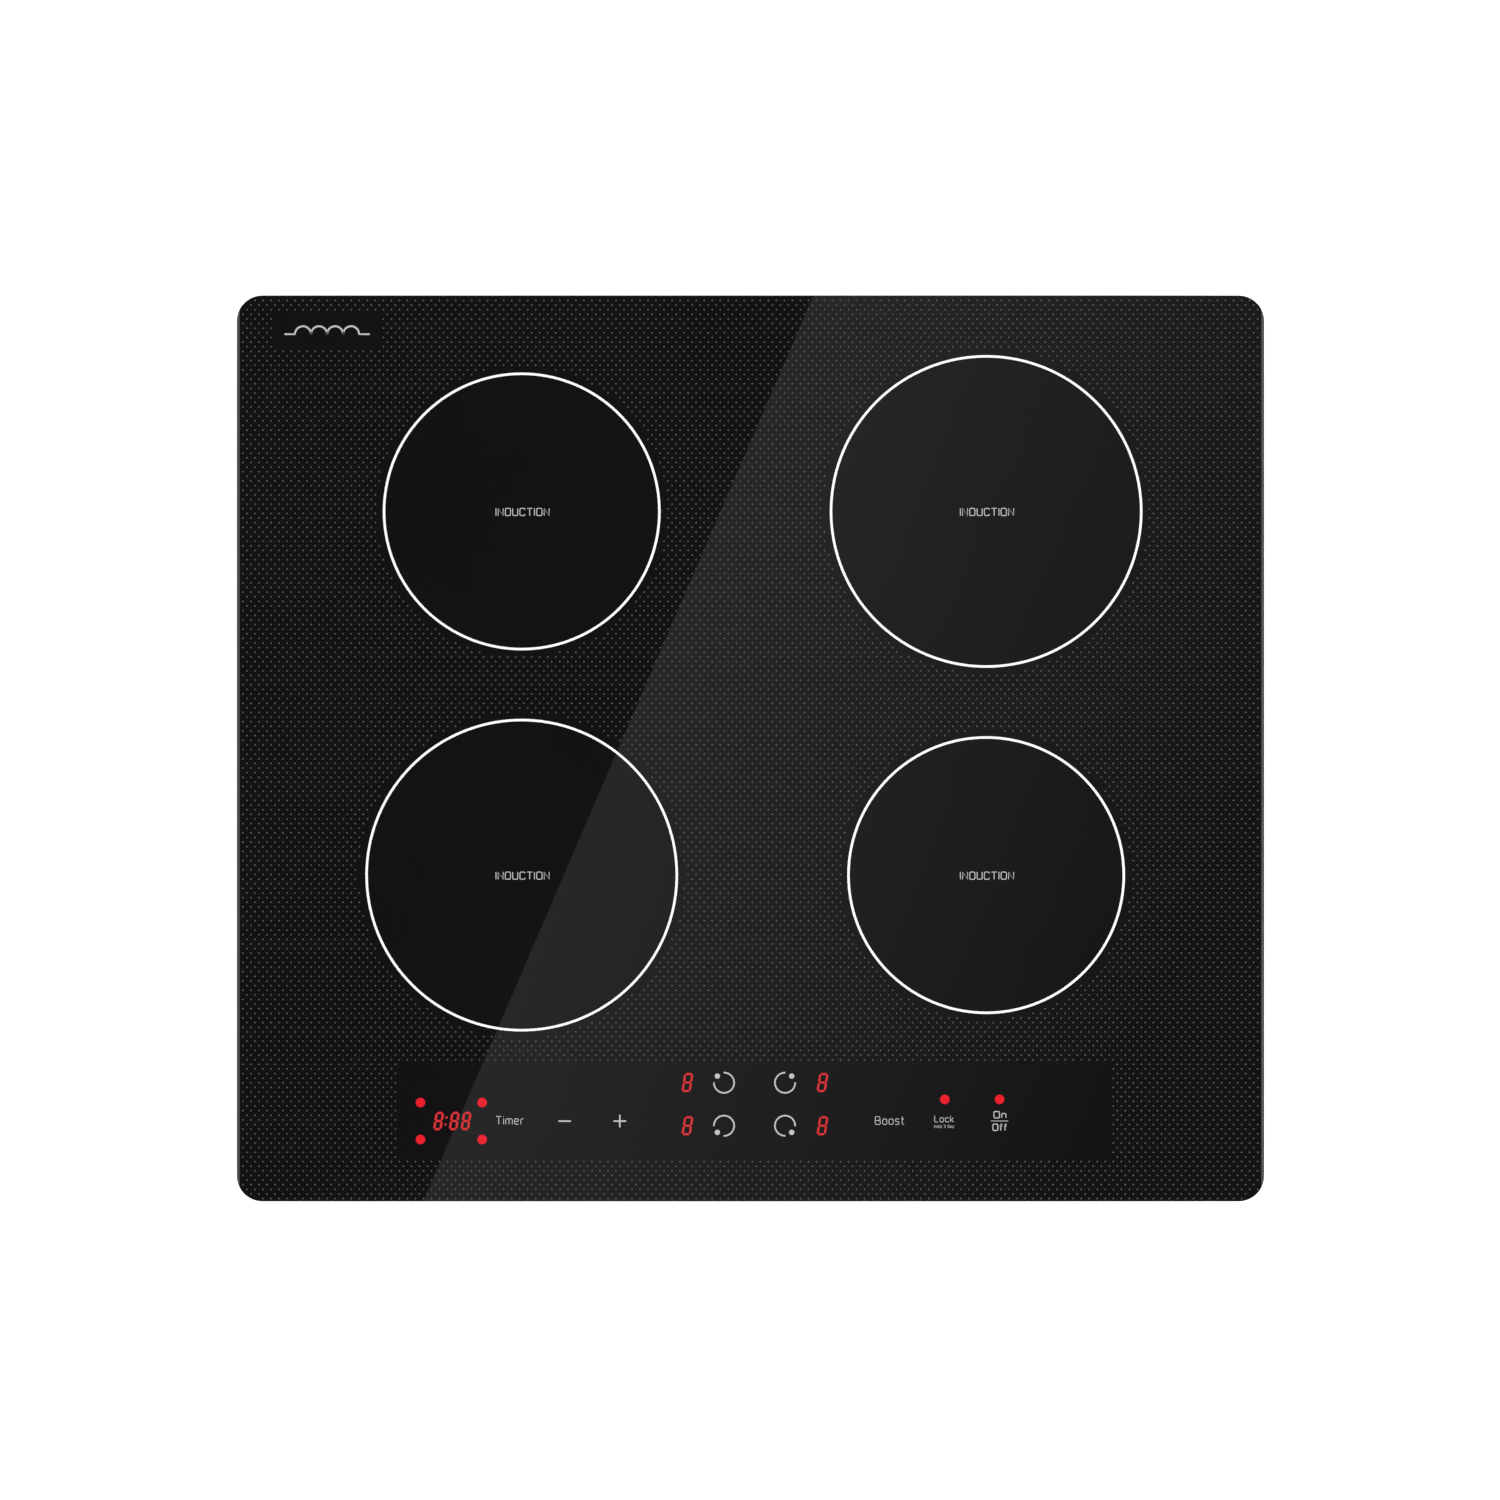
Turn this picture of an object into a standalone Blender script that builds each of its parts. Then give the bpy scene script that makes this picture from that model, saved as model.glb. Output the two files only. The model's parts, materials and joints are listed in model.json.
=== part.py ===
"""Built-in induction cooktop with four cooking zones, built as an assembly of its separate pieces.

Units are metres and +Z is up. The origin is the middle of the plane that the tray's pads stand on.
+X is the cook's right hand, and -Y is the front edge, where the touch controls are.
"""

import math

import bmesh
import bpy
from mathutils import Matrix, Vector

MM = 0.001
GAP = 0.3 * MM  # between pieces that touch

# Glass plate
GLASS_WIDTH = 590 * MM
GLASS_DEPTH = 520 * MM
GLASS_THICKNESS = 4 * MM
GLASS_CORNER = 15 * MM
FACET_WIDTH = 1.9 * MM  # flat ground along the left and right top edges
FACET_DROP = 1.2 * MM
GLASS_UNDERSIDE = 54 * MM  # height above the plane that the pads stand on

# Worktop cut-out, and what goes through it
RIM_LAP_SIDE = 15 * MM  # how far the glass laps over the worktop, left and right
RIM_LAP_ENDS = 15 * MM  # the same at the front and rear
CUTOUT_CLEARANCE = 2 * MM
FRAME_FLANGE = 8 * MM
FRAME_INNER_CORNER = 2 * MM  # of the flange's inner edge
FRAME_SKIRT = 12 * MM
FRAME_SHEET = 1.0 * MM
BOND_WIDTH = 6 * MM
BOND_INSET = 1 * MM  # from the frame's outside
BOND_THICKNESS = 1.0 * MM
SEAL_WIDTH = 10 * MM
SEAL_THICKNESS = 3 * MM
SEAL_INSET = 3 * MM  # from the glass edge

# Bottom tray
TRAY_SHEET = 0.8 * MM
PAD_HEIGHT = 5 * MM
PAD_RADIUS = 14 * MM
PAD_INSET = 30 * MM
VENT_WIDTH = 3.5 * MM
VENT_PITCH = 8 * MM
EXHAUST_LENGTH = 36 * MM
EXHAUST_COUNT = 11
EXHAUST_FROM_EDGE = 34 * MM
REAR_VENT_HEIGHT = 16 * MM
REAR_VENT_COUNT = 8

# Worktop clamps, which swing out from under the tray
CLAMP_ARM = 45 * MM  # pivot to the middle of the round tip
CLAMP_WIDTH = 18 * MM
CLAMP_SHEET = 1.5 * MM
CLAMP_INSET = 18 * MM
CLAMP_FROM_RAIL = 7 * MM  # from a spring rail's foot to the pivot
CLAMP_SCREW_RADIUS = 2.0 * MM
CLAMP_HOLE_CLEARANCE = 0.4 * MM
CLAMP_HEAD_RADIUS = 5 * MM
CLAMP_HEAD_HEIGHT = 2.2 * MM
CLAMP_SCREW_END = 3 * MM  # past the tray's floor

# Terminal box at the rear right, with the cable inlet in its rear wall
TERMINAL_WIDTH = 100 * MM
TERMINAL_DEPTH = 55 * MM
TERMINAL_HEIGHT = 28 * MM
TERMINAL_WALL = 2 * MM
TERMINAL_FROM_SIDE = 60 * MM
INLET_HOLE_RADIUS = 9 * MM
INLET_BORE_RADIUS = 6.5 * MM
GROMMET_FLANGE_RADIUS = 11 * MM
GROMMET_FLANGE = 2.4 * MM
GROMMET_CHAMFER = 1 * MM
POLE_COUNT = 5
POLE_PITCH = 13 * MM
TERMINAL_BLOCK_DEPTH = 22 * MM
TERMINAL_BLOCK_HEIGHT = 14 * MM
TERMINAL_BARRIER = 2 * MM
TERMINAL_BLOCK_INSET = 2 * MM  # from the front wall of the box

# Cooking zones. The margins run from the glass edges to the middles of the zones.
LEFT_ZONE_MARGIN = 163.7 * MM
RIGHT_ZONE_MARGIN = 159.8 * MM
REAR_ZONE_MARGIN = 124 * MM
FRONT_ZONE_MARGIN = 187.3 * MM
LARGE_ZONE = 178 * MM  # diameters of the printed rings
SMALL_ZONE = 158 * MM

# Coil modules, from the glass down
MICA_THICKNESS = 0.6 * MM
WINDING_THICKNESS = 3.0 * MM
WINDING_INSET = 5 * MM  # from the printed ring
WINDING_INNER_RADIUS = 22 * MM
FORMER_THICKNESS = 4 * MM
FORMER_LIP = 3 * MM
FORMER_HOLE_RADIUS = 12 * MM
FORMER_WINDOWS = 6
FORMER_RIM = 8 * MM  # solid inside and outside the windows
FORMER_SPOKE = 0.4  # share of each sixth that a spoke takes
CARRIER_SHEET = 1.5 * MM
CARRIER_MARGIN = 6 * MM
CARRIER_SPLIT = 6 * MM
CARRIER_CORNER = 8 * MM
SENSOR_FLANGE_RADIUS = 9 * MM
SENSOR_FLANGE = 1.5 * MM
SENSOR_RADIUS = 6 * MM
SENSOR_CHAMFER = 1 * MM
SENSOR_CLEARANCE = 1 * MM  # to the mica round it
LEAD_HOLE_RADIUS = 3 * MM
LEAD_HOLE_OFFSET = 5 * MM  # from the sensor's flange to the middle of the hole

# Springs under the coil carriers, and the rails that they stand on
RAIL_HEIGHT = 20 * MM
RAIL_WIDTH = 22 * MM
RAIL_FOOT = 6 * MM
RAIL_SHEET = 1.2 * MM
RAIL_END_CLEARANCE = 4 * MM
SPRING_RADIUS = 5 * MM
SPRING_WIRE = 1.0 * MM
SPRING_TURNS = 4
SPRING_INSET = 34 * MM

# Power boards and cooling
BOARD_WIDTH = 230 * MM
BOARD_DEPTH = 150 * MM
BOARD_THICKNESS = 1.6 * MM
BOARD_CORNER = 3 * MM
BOARD_SPLIT = 20 * MM
BOARD_CLEARANCE = 4 * MM
BOSS_HEIGHT = 4 * MM
BOSS_RADIUS = 4 * MM
BOSS_INSET = 10 * MM
HEAT_SINK_LENGTH = 120 * MM
HEAT_SINK_WIDTH = 62 * MM
HEAT_SINK_HEIGHT = 22 * MM
HEAT_SINK_FINS = 10
HEAT_SINK_FIN = 1.8 * MM
HEAT_SINK_BASE = 4 * MM
HEAT_SINK_INSET = 3 * MM  # from the rear edge of the board
CAPACITOR_SIZE = (30 * MM, 42 * MM, 20 * MM)
CAPACITOR_OFFSET = 58 * MM
FAN_RADIUS = 37 * MM
FAN_TIP_CLEARANCE = 2.5 * MM
FAN_SCROLL = 5 * MM  # growth of the housing's radius over half a turn
FAN_WALL = 1.8 * MM
FAN_HEIGHT = 26 * MM
FAN_OUTLET = 45 * MM
FAN_BLADES = 13
FAN_BLADE = 1.6 * MM
FAN_HUB_RADIUS = 14 * MM
FAN_SWEEP = math.radians(28)
AXLE_RADIUS = 2 * MM
AXLE_CLEARANCE = 0.4 * MM
AXLE_END = 4 * MM  # short of the floor
ROTOR_CLEARANCE = 3 * MM  # over and under the rotor
INLET_GRILLE_RADIUS = 30 * MM

# Touch controls at the front
TOUCH_WIDTH = 416 * MM
TOUCH_DEPTH = 56 * MM
TOUCH_HEIGHT = 11 * MM
TOUCH_WALL = 1.6 * MM
TOUCH_SIDE_SHIFT = 2 * MM
TOUCH_CLEARANCE = 2 * MM
TOUCH_BOARD_CORNER = 2 * MM
RIBBON_WIDTH = 20 * MM
RIBBON_THICKNESS = 0.8 * MM
RIBBON_SIDE = 80 * MM  # left of the middle
RIBBON_ROOT = 12 * MM  # length of the flat end under the touch controls
RIBBON_OVER_RAIL = 5 * MM
RIBBON_TOP = 28 * MM  # length of the flat part over the rail
RIBBON_BEND = (6 * MM, 2 * MM)  # last bend, from the board's front edge and over its face
RIBBON_LANDING = (10 * MM, 20 * MM)  # flat end, from the board's front edge

CORNER_STEPS = 6
ROUND_STEPS = 24
HOLE_STEPS = 12

# Worked out from the sizes above
GLASS_TOP = GLASS_UNDERSIDE + GLASS_THICKNESS
FRAME_WIDTH = GLASS_WIDTH - 2 * (RIM_LAP_SIDE + CUTOUT_CLEARANCE)
FRAME_DEPTH = GLASS_DEPTH - 2 * (RIM_LAP_ENDS + CUTOUT_CLEARANCE)
FRAME_CORNER = FRAME_FLANGE + FRAME_INNER_CORNER
FRAME_TOP = GLASS_UNDERSIDE - BOND_THICKNESS - 2 * GAP
TRAY_WIDTH = FRAME_WIDTH - 2 * (FRAME_SHEET + GAP)
TRAY_DEPTH = FRAME_DEPTH - 2 * (FRAME_SHEET + GAP)
TRAY_CORNER = FRAME_CORNER - FRAME_SHEET - GAP
TRAY_TOP = FRAME_TOP - FRAME_SHEET - GAP
FLOOR = PAD_HEIGHT + TRAY_SHEET  # the tray's upper floor face
INNER_X = TRAY_WIDTH / 2 - TRAY_SHEET
INNER_Y = TRAY_DEPTH / 2 - TRAY_SHEET

CLAMP_X = TRAY_WIDTH / 2 - CLAMP_INSET
CLAMP_HOLE_RADIUS = CLAMP_SCREW_RADIUS + CLAMP_HOLE_CLEARANCE

TERMINAL_X = INNER_X - TERMINAL_FROM_SIDE - TERMINAL_WIDTH / 2
TERMINAL_REAR = TRAY_DEPTH / 2
TERMINAL_FRONT = TERMINAL_REAR - TERMINAL_DEPTH
INLET_Z = PAD_HEIGHT + TERMINAL_HEIGHT / 2

LEFT_ZONE_X = LEFT_ZONE_MARGIN - GLASS_WIDTH / 2
RIGHT_ZONE_X = GLASS_WIDTH / 2 - RIGHT_ZONE_MARGIN
REAR_ZONE_Y = GLASS_DEPTH / 2 - REAR_ZONE_MARGIN
FRONT_ZONE_Y = FRONT_ZONE_MARGIN - GLASS_DEPTH / 2
ZONES = {  # name: (x, y, diameter of the ring, side)
    "rear_left": (LEFT_ZONE_X, REAR_ZONE_Y, SMALL_ZONE, "left"),
    "front_left": (LEFT_ZONE_X, FRONT_ZONE_Y, LARGE_ZONE, "left"),
    "rear_right": (RIGHT_ZONE_X, REAR_ZONE_Y, LARGE_ZONE, "right"),
    "front_right": (RIGHT_ZONE_X, FRONT_ZONE_Y, SMALL_ZONE, "right"),
}
SIDES = {"left": -1, "right": 1}

MICA_BOTTOM = GLASS_UNDERSIDE - GAP - MICA_THICKNESS
WINDING_BOTTOM = MICA_BOTTOM - GAP - WINDING_THICKNESS
FORMER_BOTTOM = WINDING_BOTTOM - GAP - FORMER_THICKNESS
CARRIER_BOTTOM = FORMER_BOTTOM - GAP - CARRIER_SHEET
CARRIER_TOP = CARRIER_BOTTOM + CARRIER_SHEET

MODULE_REACH = max(LARGE_ZONE, SMALL_ZONE) / 2 - WINDING_INSET + FORMER_LIP + CARRIER_MARGIN
CARRIER_FRONT = FRONT_ZONE_Y - MODULE_REACH
CARRIER_REAR = REAR_ZONE_Y + MODULE_REACH
CARRIER_MIDDLE = (LEFT_ZONE_X + RIGHT_ZONE_X) / 2
CARRIER_SPAN = {  # lowest and highest x
    "left": (LEFT_ZONE_X - MODULE_REACH, CARRIER_MIDDLE - CARRIER_SPLIT / 2),
    "right": (CARRIER_MIDDLE + CARRIER_SPLIT / 2, RIGHT_ZONE_X + MODULE_REACH),
}

RAIL_REACH = RAIL_WIDTH / 2 + RAIL_FOOT
FRONT_RAIL_Y = CARRIER_FRONT + RAIL_REACH
REAR_RAIL_Y = min(TERMINAL_FRONT, CARRIER_REAR) - BOARD_CLEARANCE - RAIL_REACH
RAIL_TOP = FLOOR + GAP + RAIL_HEIGHT
FRONT_CLAMP_Y = FRONT_RAIL_Y + RAIL_REACH + CLAMP_FROM_RAIL
REAR_CLAMP_Y = REAR_RAIL_Y - RAIL_REACH - CLAMP_FROM_RAIL

BOARD_X = (BOARD_SPLIT + BOARD_WIDTH) / 2
BOARD_FRONT = FRONT_RAIL_Y + RAIL_REACH + BOARD_CLEARANCE
BOARD_Y = BOARD_FRONT + BOARD_DEPTH / 2
BOARD_REAR = BOARD_FRONT + BOARD_DEPTH
BOARD_BOTTOM = FLOOR + BOSS_HEIGHT + GAP
BOARD_TOP = BOARD_BOTTOM + BOARD_THICKNESS
FAN_SCROLL_START = FAN_RADIUS + FAN_TIP_CLEARANCE
FAN_Y = BOARD_REAR + BOARD_CLEARANCE + FAN_OUTLET
FAN_TOP = FLOOR + GAP + FAN_HEIGHT

TOUCH_FRONT = FRAME_FLANGE + FRAME_SHEET + GAP - FRAME_DEPTH / 2
TOUCH_Y = TOUCH_FRONT + TOUCH_DEPTH / 2
TOUCH_BOTTOM = GLASS_UNDERSIDE - GAP - TOUCH_HEIGHT


# Scene, materials and modelling helpers


def clear_scene():
    for obj in list(bpy.data.objects):
        bpy.data.objects.remove(obj, do_unlink=True)


def new_collection(name, hidden=False):
    collection = bpy.data.collections.new(name)
    bpy.context.scene.collection.children.link(collection)
    collection.hide_render = hidden
    return collection


clear_scene()
PARTS = new_collection("induction_cooktop")
CUTTERS = new_collection("cutters", hidden=True)


def new_material(name, colour, roughness, metallic=0.0):
    material = bpy.data.materials.new(name)
    material.use_nodes = True
    shader = material.node_tree.nodes["Principled BSDF"]
    shader.inputs["Base Color"].default_value = (*colour, 1)
    shader.inputs["Roughness"].default_value = roughness
    shader.inputs["Metallic"].default_value = metallic
    return material


BLACK_GLASS = new_material("black_glass_ceramic", (0.006, 0.0055, 0.006), 0.06)
SILICONE = new_material("silicone_adhesive", (0.03, 0.03, 0.03), 0.6)
FOAM = new_material("foam_strip", (0.02, 0.02, 0.02), 0.95)
GALVANISED = new_material("galvanised_steel", (0.55, 0.56, 0.57), 0.45, 1.0)
ZINC = new_material("zinc_plated_steel", (0.7, 0.7, 0.68), 0.3, 1.0)
ALUMINIUM = new_material("aluminium", (0.8, 0.8, 0.82), 0.35, 1.0)
PLASTIC = new_material("black_moulded_plastic", (0.015, 0.015, 0.016), 0.5)
PALE_PLASTIC = new_material("white_moulded_plastic", (0.75, 0.74, 0.7), 0.5)
RUBBER = new_material("black_rubber", (0.02, 0.02, 0.02), 0.8)
COPPER = new_material("litz_copper", (0.72, 0.33, 0.16), 0.4, 1.0)
MICA = new_material("mica_sheet", (0.62, 0.55, 0.42), 0.5)
SENSOR = new_material("white_silicone", (0.8, 0.8, 0.78), 0.5)
LAMINATE = new_material("green_board", (0.02, 0.16, 0.06), 0.4)
CAPACITOR = new_material("grey_capacitor_case", (0.35, 0.36, 0.38), 0.4)


def add_object(name, data, place=(0, 0, 0), material=None, collection=PARTS):
    """Links data as an object whose origin is at place, in world coordinates."""
    obj = bpy.data.objects.new(name, data)
    obj.location = place
    if material:
        data.materials.append(material)
    collection.objects.link(obj)
    return obj


def mesh_from(bm, name):
    mesh = bpy.data.meshes.new(name)
    bm.to_mesh(mesh)
    bm.free()
    return mesh


def add_cuboid(bm, size, centre=(0, 0, 0)):
    made = bmesh.ops.create_cube(bm, size=1)
    bmesh.ops.scale(bm, vec=size, verts=made["verts"])
    bmesh.ops.translate(bm, vec=centre, verts=made["verts"])
    return made["verts"]


def add_rod(bm, radius, height, centre, steps=HOLE_STEPS, turn=Matrix()):
    """A cylinder along Z, turned by a matrix and then moved so that its middle is at centre."""
    made = bmesh.ops.create_cone(
        bm, cap_ends=True, segments=steps, radius1=radius, radius2=radius, depth=height
    )
    bmesh.ops.transform(bm, matrix=Matrix.Translation(centre) @ turn, verts=made["verts"])


def cuboid(name, size, centre, material):
    bm = bmesh.new()
    add_cuboid(bm, size)
    return add_object(name, mesh_from(bm, name), centre, material)


def boolean(obj, cutter_bm, operation="DIFFERENCE"):
    """Cuts or joins every shape in the bmesh, which is in world coordinates, in one step."""
    name = f"{obj.name}_{operation.lower()}_{len(obj.modifiers)}"
    tool = add_object(name, mesh_from(cutter_bm, name), collection=CUTTERS)
    tool.hide_render = True
    tool.display_type = "WIRE"
    modifier = obj.modifiers.new(name, "BOOLEAN")
    modifier.operation = operation
    modifier.object = tool


def circle(radius, steps=ROUND_STEPS, centre=(0, 0)):
    turns = (2 * math.pi * step / steps for step in range(steps))
    return [(centre[0] + radius * math.cos(a), centre[1] + radius * math.sin(a)) for a in turns]


def arc(radius, start, end, steps, centre=(0, 0)):
    turns = (start + (end - start) * step / steps for step in range(steps + 1))
    return [(centre[0] + radius * math.cos(a), centre[1] + radius * math.sin(a)) for a in turns]


def rounded_rectangle(width, depth, corner, steps=CORNER_STEPS, centre=(0, 0)):
    points = []
    for quarter, (side_x, side_y) in enumerate(((1, 1), (-1, 1), (-1, -1), (1, -1))):
        middle = (
            centre[0] + side_x * (width / 2 - corner),
            centre[1] + side_y * (depth / 2 - corner),
        )
        start = quarter * math.pi / 2
        points += arc(corner, start, start + math.pi / 2, steps, middle)
    return points


def strip(path, thickness):
    """The outline of sheet of this thickness, centred on an open path and mitred at its bends."""
    points = [Vector(point) for point in path]
    left, right = [], []
    for i, point in enumerate(points):
        before = (point - points[i - 1]).normalized() if i else None
        after = (points[i + 1] - point).normalized() if i + 1 < len(points) else before
        before = before or after
        normal = Vector((-before.y - after.y, before.x + after.x)).normalized()
        reach = thickness / 2 / max(0.3, normal.dot(Vector((-after.y, after.x))))
        left.append(point + normal * reach)
        right.append(point - normal * reach)
    return [tuple(point) for point in left + right[::-1]]


def comb(width, height, base, teeth, tooth):
    """The outline of upright teeth on a base, with its middle at x = 0 and its underside at y = 0."""
    points = [(width / 2, 0), (width / 2, height)]
    pitch = (width - tooth) / (teeth - 1)
    for i in range(teeth):
        right = width / 2 - i * pitch
        if i:
            points += [(right, base), (right, height)]
        points += [(right - tooth, height)]
        if i + 1 < teeth:
            points += [(right - tooth, base)]
    return points + [(-width / 2, 0)]


def extruded(name, outlines, thickness, centre, material, turn=(0, 0, 0)):
    """Flat outlines, with holes where one lies inside another, as a plate centred on its own plane."""
    curve = bpy.data.curves.new(name, "CURVE")
    curve.dimensions = "2D"
    curve.fill_mode = "BOTH"
    curve.extrude = thickness / 2
    for outline in outlines:
        spline = curve.splines.new("POLY")
        spline.points.add(len(outline) - 1)
        for point, (x, y) in zip(spline.points, outline):
            point.co = (x, y, 0, 1)
        spline.use_cyclic_u = True
    obj = add_object(name, curve, centre, material)
    obj.rotation_euler = turn
    return obj


ALONG_X = (math.pi / 2, 0, math.pi / 2)  # an outline in Y and Z, extruded along X
ALONG_Y = (math.pi / 2, 0, 0)  # an outline in X and Z, extruded along Y


def plate(name, outlines, thickness, bottom, material, middle=(0, 0)):
    return extruded(name, outlines, thickness, (*middle, bottom + thickness / 2), material)


def as_mesh(obj):
    """Replaces a curve object by the welded mesh of it, so that it can be cut."""
    bpy.context.view_layer.update()
    graph = bpy.context.evaluated_depsgraph_get()
    name, world = obj.name, obj.matrix_world.copy()
    mesh = bpy.data.meshes.new_from_object(obj.evaluated_get(graph))
    bm = bmesh.new()
    bm.from_mesh(mesh)
    bmesh.ops.remove_doubles(bm, verts=bm.verts, dist=GAP / 100)
    bm.to_mesh(mesh)
    bm.free()
    bpy.data.objects.remove(obj)
    made = add_object(name, mesh)
    made.matrix_world = world
    return made


def turned(name, profile, place, material, steps=ROUND_STEPS, axis="Z"):
    """A closed (radius, height) profile turned about an axis through place."""
    bm = bmesh.new()
    points = [bm.verts.new((radius, 0, height)) for radius, height in profile]
    for start, end in zip(points, points[1:] + points[:1]):
        if max(start.co.x, end.co.x) > 0:
            bm.edges.new((start, end))
    obj = add_object(name, mesh_from(bm, name), place, material)
    screw = obj.modifiers.new("turn", "SCREW")
    screw.steps = steps
    screw.render_steps = steps
    screw.use_merge_vertices = True
    screw.merge_threshold = 0.01 * MM
    if axis == "Y":
        obj.rotation_euler = (-math.pi / 2, 0, 0)
    return obj


def sheet_box(name, width, depth, height, corner, sheet, bottom, material, centre=(0, 0), flange=0):
    """A folded sheet box with one open side: its top or, where it has a flange, its bottom.

    The flange is a border left on the closed side. The sizes are outside sizes.
    """
    bm = bmesh.new()
    add_cuboid(bm, (width, depth, height))
    upright = [edge for edge in bm.edges if abs(edge.verts[0].co.z - edge.verts[1].co.z) > height / 2]
    if corner:
        bmesh.ops.bevel(
            bm, geom=upright, offset=corner, segments=CORNER_STEPS - 2, affect="EDGES", profile=0.5
        )
    bm.normal_update()
    top = next(face for face in bm.faces if face.normal.z > 0.9)
    under = next(face for face in bm.faces if face.normal.z < -0.9)
    if flange:
        bmesh.ops.inset_region(bm, faces=[top], thickness=flange, use_even_offset=True)
        bmesh.ops.delete(bm, geom=[top, under], context="FACES")
    else:
        bmesh.ops.delete(bm, geom=[top], context="FACES")
    middle = (*centre, bottom + height / 2)
    obj = add_object(name, mesh_from(bm, name), middle, material)
    solidify = obj.modifiers.new("sheet", "SOLIDIFY")
    solidify.thickness = sheet
    solidify.offset = -1
    solidify.use_even_offset = True
    return obj


def carried_by(empty, *pieces):
    """Parents the pieces to the empty and leaves them where they are."""
    for piece in pieces:
        piece.parent = empty
        piece.location = Vector(piece.location) - empty.location


# Glass, frame and seal


def glass_top():
    outline = rounded_rectangle(GLASS_WIDTH, GLASS_DEPTH, GLASS_CORNER)
    glass = as_mesh(plate("glass_top", [outline], GLASS_THICKNESS, GLASS_UNDERSIDE, BLACK_GLASS))
    slope = math.atan2(FACET_DROP, FACET_WIDTH)
    block = 20 * MM
    cutters = bmesh.new()
    for side in SIDES.values():
        tilt = Matrix.Rotation(side * slope, 4, "Y")
        facet_middle = Vector(
            (side * (GLASS_WIDTH / 2 - FACET_WIDTH / 2), 0, GLASS_TOP - FACET_DROP / 2)
        )
        outwards = tilt @ Vector((0, 0, block / 2))
        corners = add_cuboid(cutters, (block, GLASS_DEPTH + block, block))
        place = Matrix.Translation(facet_middle + outwards) @ tilt
        bmesh.ops.transform(cutters, matrix=place, verts=corners)
    boolean(glass, cutters)


def glass_bond():
    width, depth = FRAME_WIDTH - 2 * BOND_INSET, FRAME_DEPTH - 2 * BOND_INSET
    corner = FRAME_CORNER - BOND_INSET
    outlines = [
        rounded_rectangle(width, depth, corner),
        rounded_rectangle(width - 2 * BOND_WIDTH, depth - 2 * BOND_WIDTH, corner - BOND_WIDTH, steps=2),
    ]
    plate("glass_bond", outlines, BOND_THICKNESS, FRAME_TOP + GAP, SILICONE)


def worktop_seal():
    width, depth = GLASS_WIDTH - 2 * SEAL_INSET, GLASS_DEPTH - 2 * SEAL_INSET
    corner = GLASS_CORNER - SEAL_INSET
    outlines = [
        rounded_rectangle(width, depth, corner),
        rounded_rectangle(width - 2 * SEAL_WIDTH, depth - 2 * SEAL_WIDTH, corner - SEAL_WIDTH, steps=2),
    ]
    bottom = GLASS_UNDERSIDE - GAP - SEAL_THICKNESS
    plate("worktop_seal", outlines, SEAL_THICKNESS, bottom, FOAM)


def mounting_frame():
    sheet_box(
        "mounting_frame",
        FRAME_WIDTH,
        FRAME_DEPTH,
        FRAME_SKIRT,
        FRAME_CORNER,
        FRAME_SHEET,
        FRAME_TOP - FRAME_SKIRT,
        GALVANISED,
        flange=FRAME_FLANGE,
    )


# Bottom tray


def pad_places():
    for side_x in (-1, 1):
        for side_y in (-1, 1):
            yield side_x * (TRAY_WIDTH / 2 - PAD_INSET), side_y * (TRAY_DEPTH / 2 - PAD_INSET)


def boss_places():
    for side in SIDES.values():
        for along in (-1, 1):
            for across in (-1, 1):
                yield (
                    side * BOARD_X + along * (BOARD_WIDTH / 2 - BOSS_INSET),
                    BOARD_Y + across * (BOARD_DEPTH / 2 - BOSS_INSET),
                )


def add_pads_and_bosses(tray):
    """Pads that the tray stands on, pressed down from its floor, and bosses under the boards."""
    bm = bmesh.new()
    overlap = TRAY_SHEET / 2
    for x, y in pad_places():
        height = PAD_HEIGHT + overlap
        add_rod(bm, PAD_RADIUS, height, (x, y, height / 2), ROUND_STEPS)
    for x, y in boss_places():
        height = BOSS_HEIGHT + overlap
        add_rod(bm, BOSS_RADIUS, height, (x, y, FLOOR + BOSS_HEIGHT - height / 2), 8)
    boolean(tray, bm, "UNION")


def hollow_pads(tray):
    bm = bmesh.new()
    for x, y in pad_places():
        add_rod(
            bm, PAD_RADIUS - 2 * TRAY_SHEET, FLOOR, (x, y, FLOOR / 2 + TRAY_SHEET), ROUND_STEPS
        )
    boolean(tray, bm)


def add_slot_row(bm, count, middle, slot, pitch, step):
    """Equal slots side by side along X (step 0) or Y (step 1)."""
    for i in range(count):
        centre = list(middle)
        centre[step] += (i - (count - 1) / 2) * pitch
        add_cuboid(bm, slot, centre)


def cut_vents(tray):
    """Fan inlets in the floor, exhaust slots at the front of it, and vents in the rear wall."""
    bm = bmesh.new()
    through = 4 * TRAY_SHEET
    floor_z = PAD_HEIGHT + TRAY_SHEET / 2
    slots = int(INLET_GRILLE_RADIUS // VENT_PITCH)
    for side in SIDES.values():
        for i in range(-slots, slots + 1):
            reach = math.sqrt(INLET_GRILLE_RADIUS**2 - (i * VENT_PITCH) ** 2)
            centre = (side * BOARD_X + i * VENT_PITCH, FAN_Y, floor_z)
            add_cuboid(bm, (VENT_WIDTH, 2 * reach + VENT_WIDTH, through), centre)
        front = EXHAUST_FROM_EDGE - TRAY_DEPTH / 2
        slot = (VENT_WIDTH, EXHAUST_LENGTH, through)
        add_slot_row(bm, EXHAUST_COUNT, (side * BOARD_X, front, floor_z), slot, VENT_PITCH, 0)
    rear = (-BOARD_X, TRAY_DEPTH / 2, FLOOR + REAR_VENT_HEIGHT)
    slot = (VENT_WIDTH, through, REAR_VENT_HEIGHT)
    add_slot_row(bm, REAR_VENT_COUNT, rear, slot, VENT_PITCH, 0)
    boolean(tray, bm)


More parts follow.
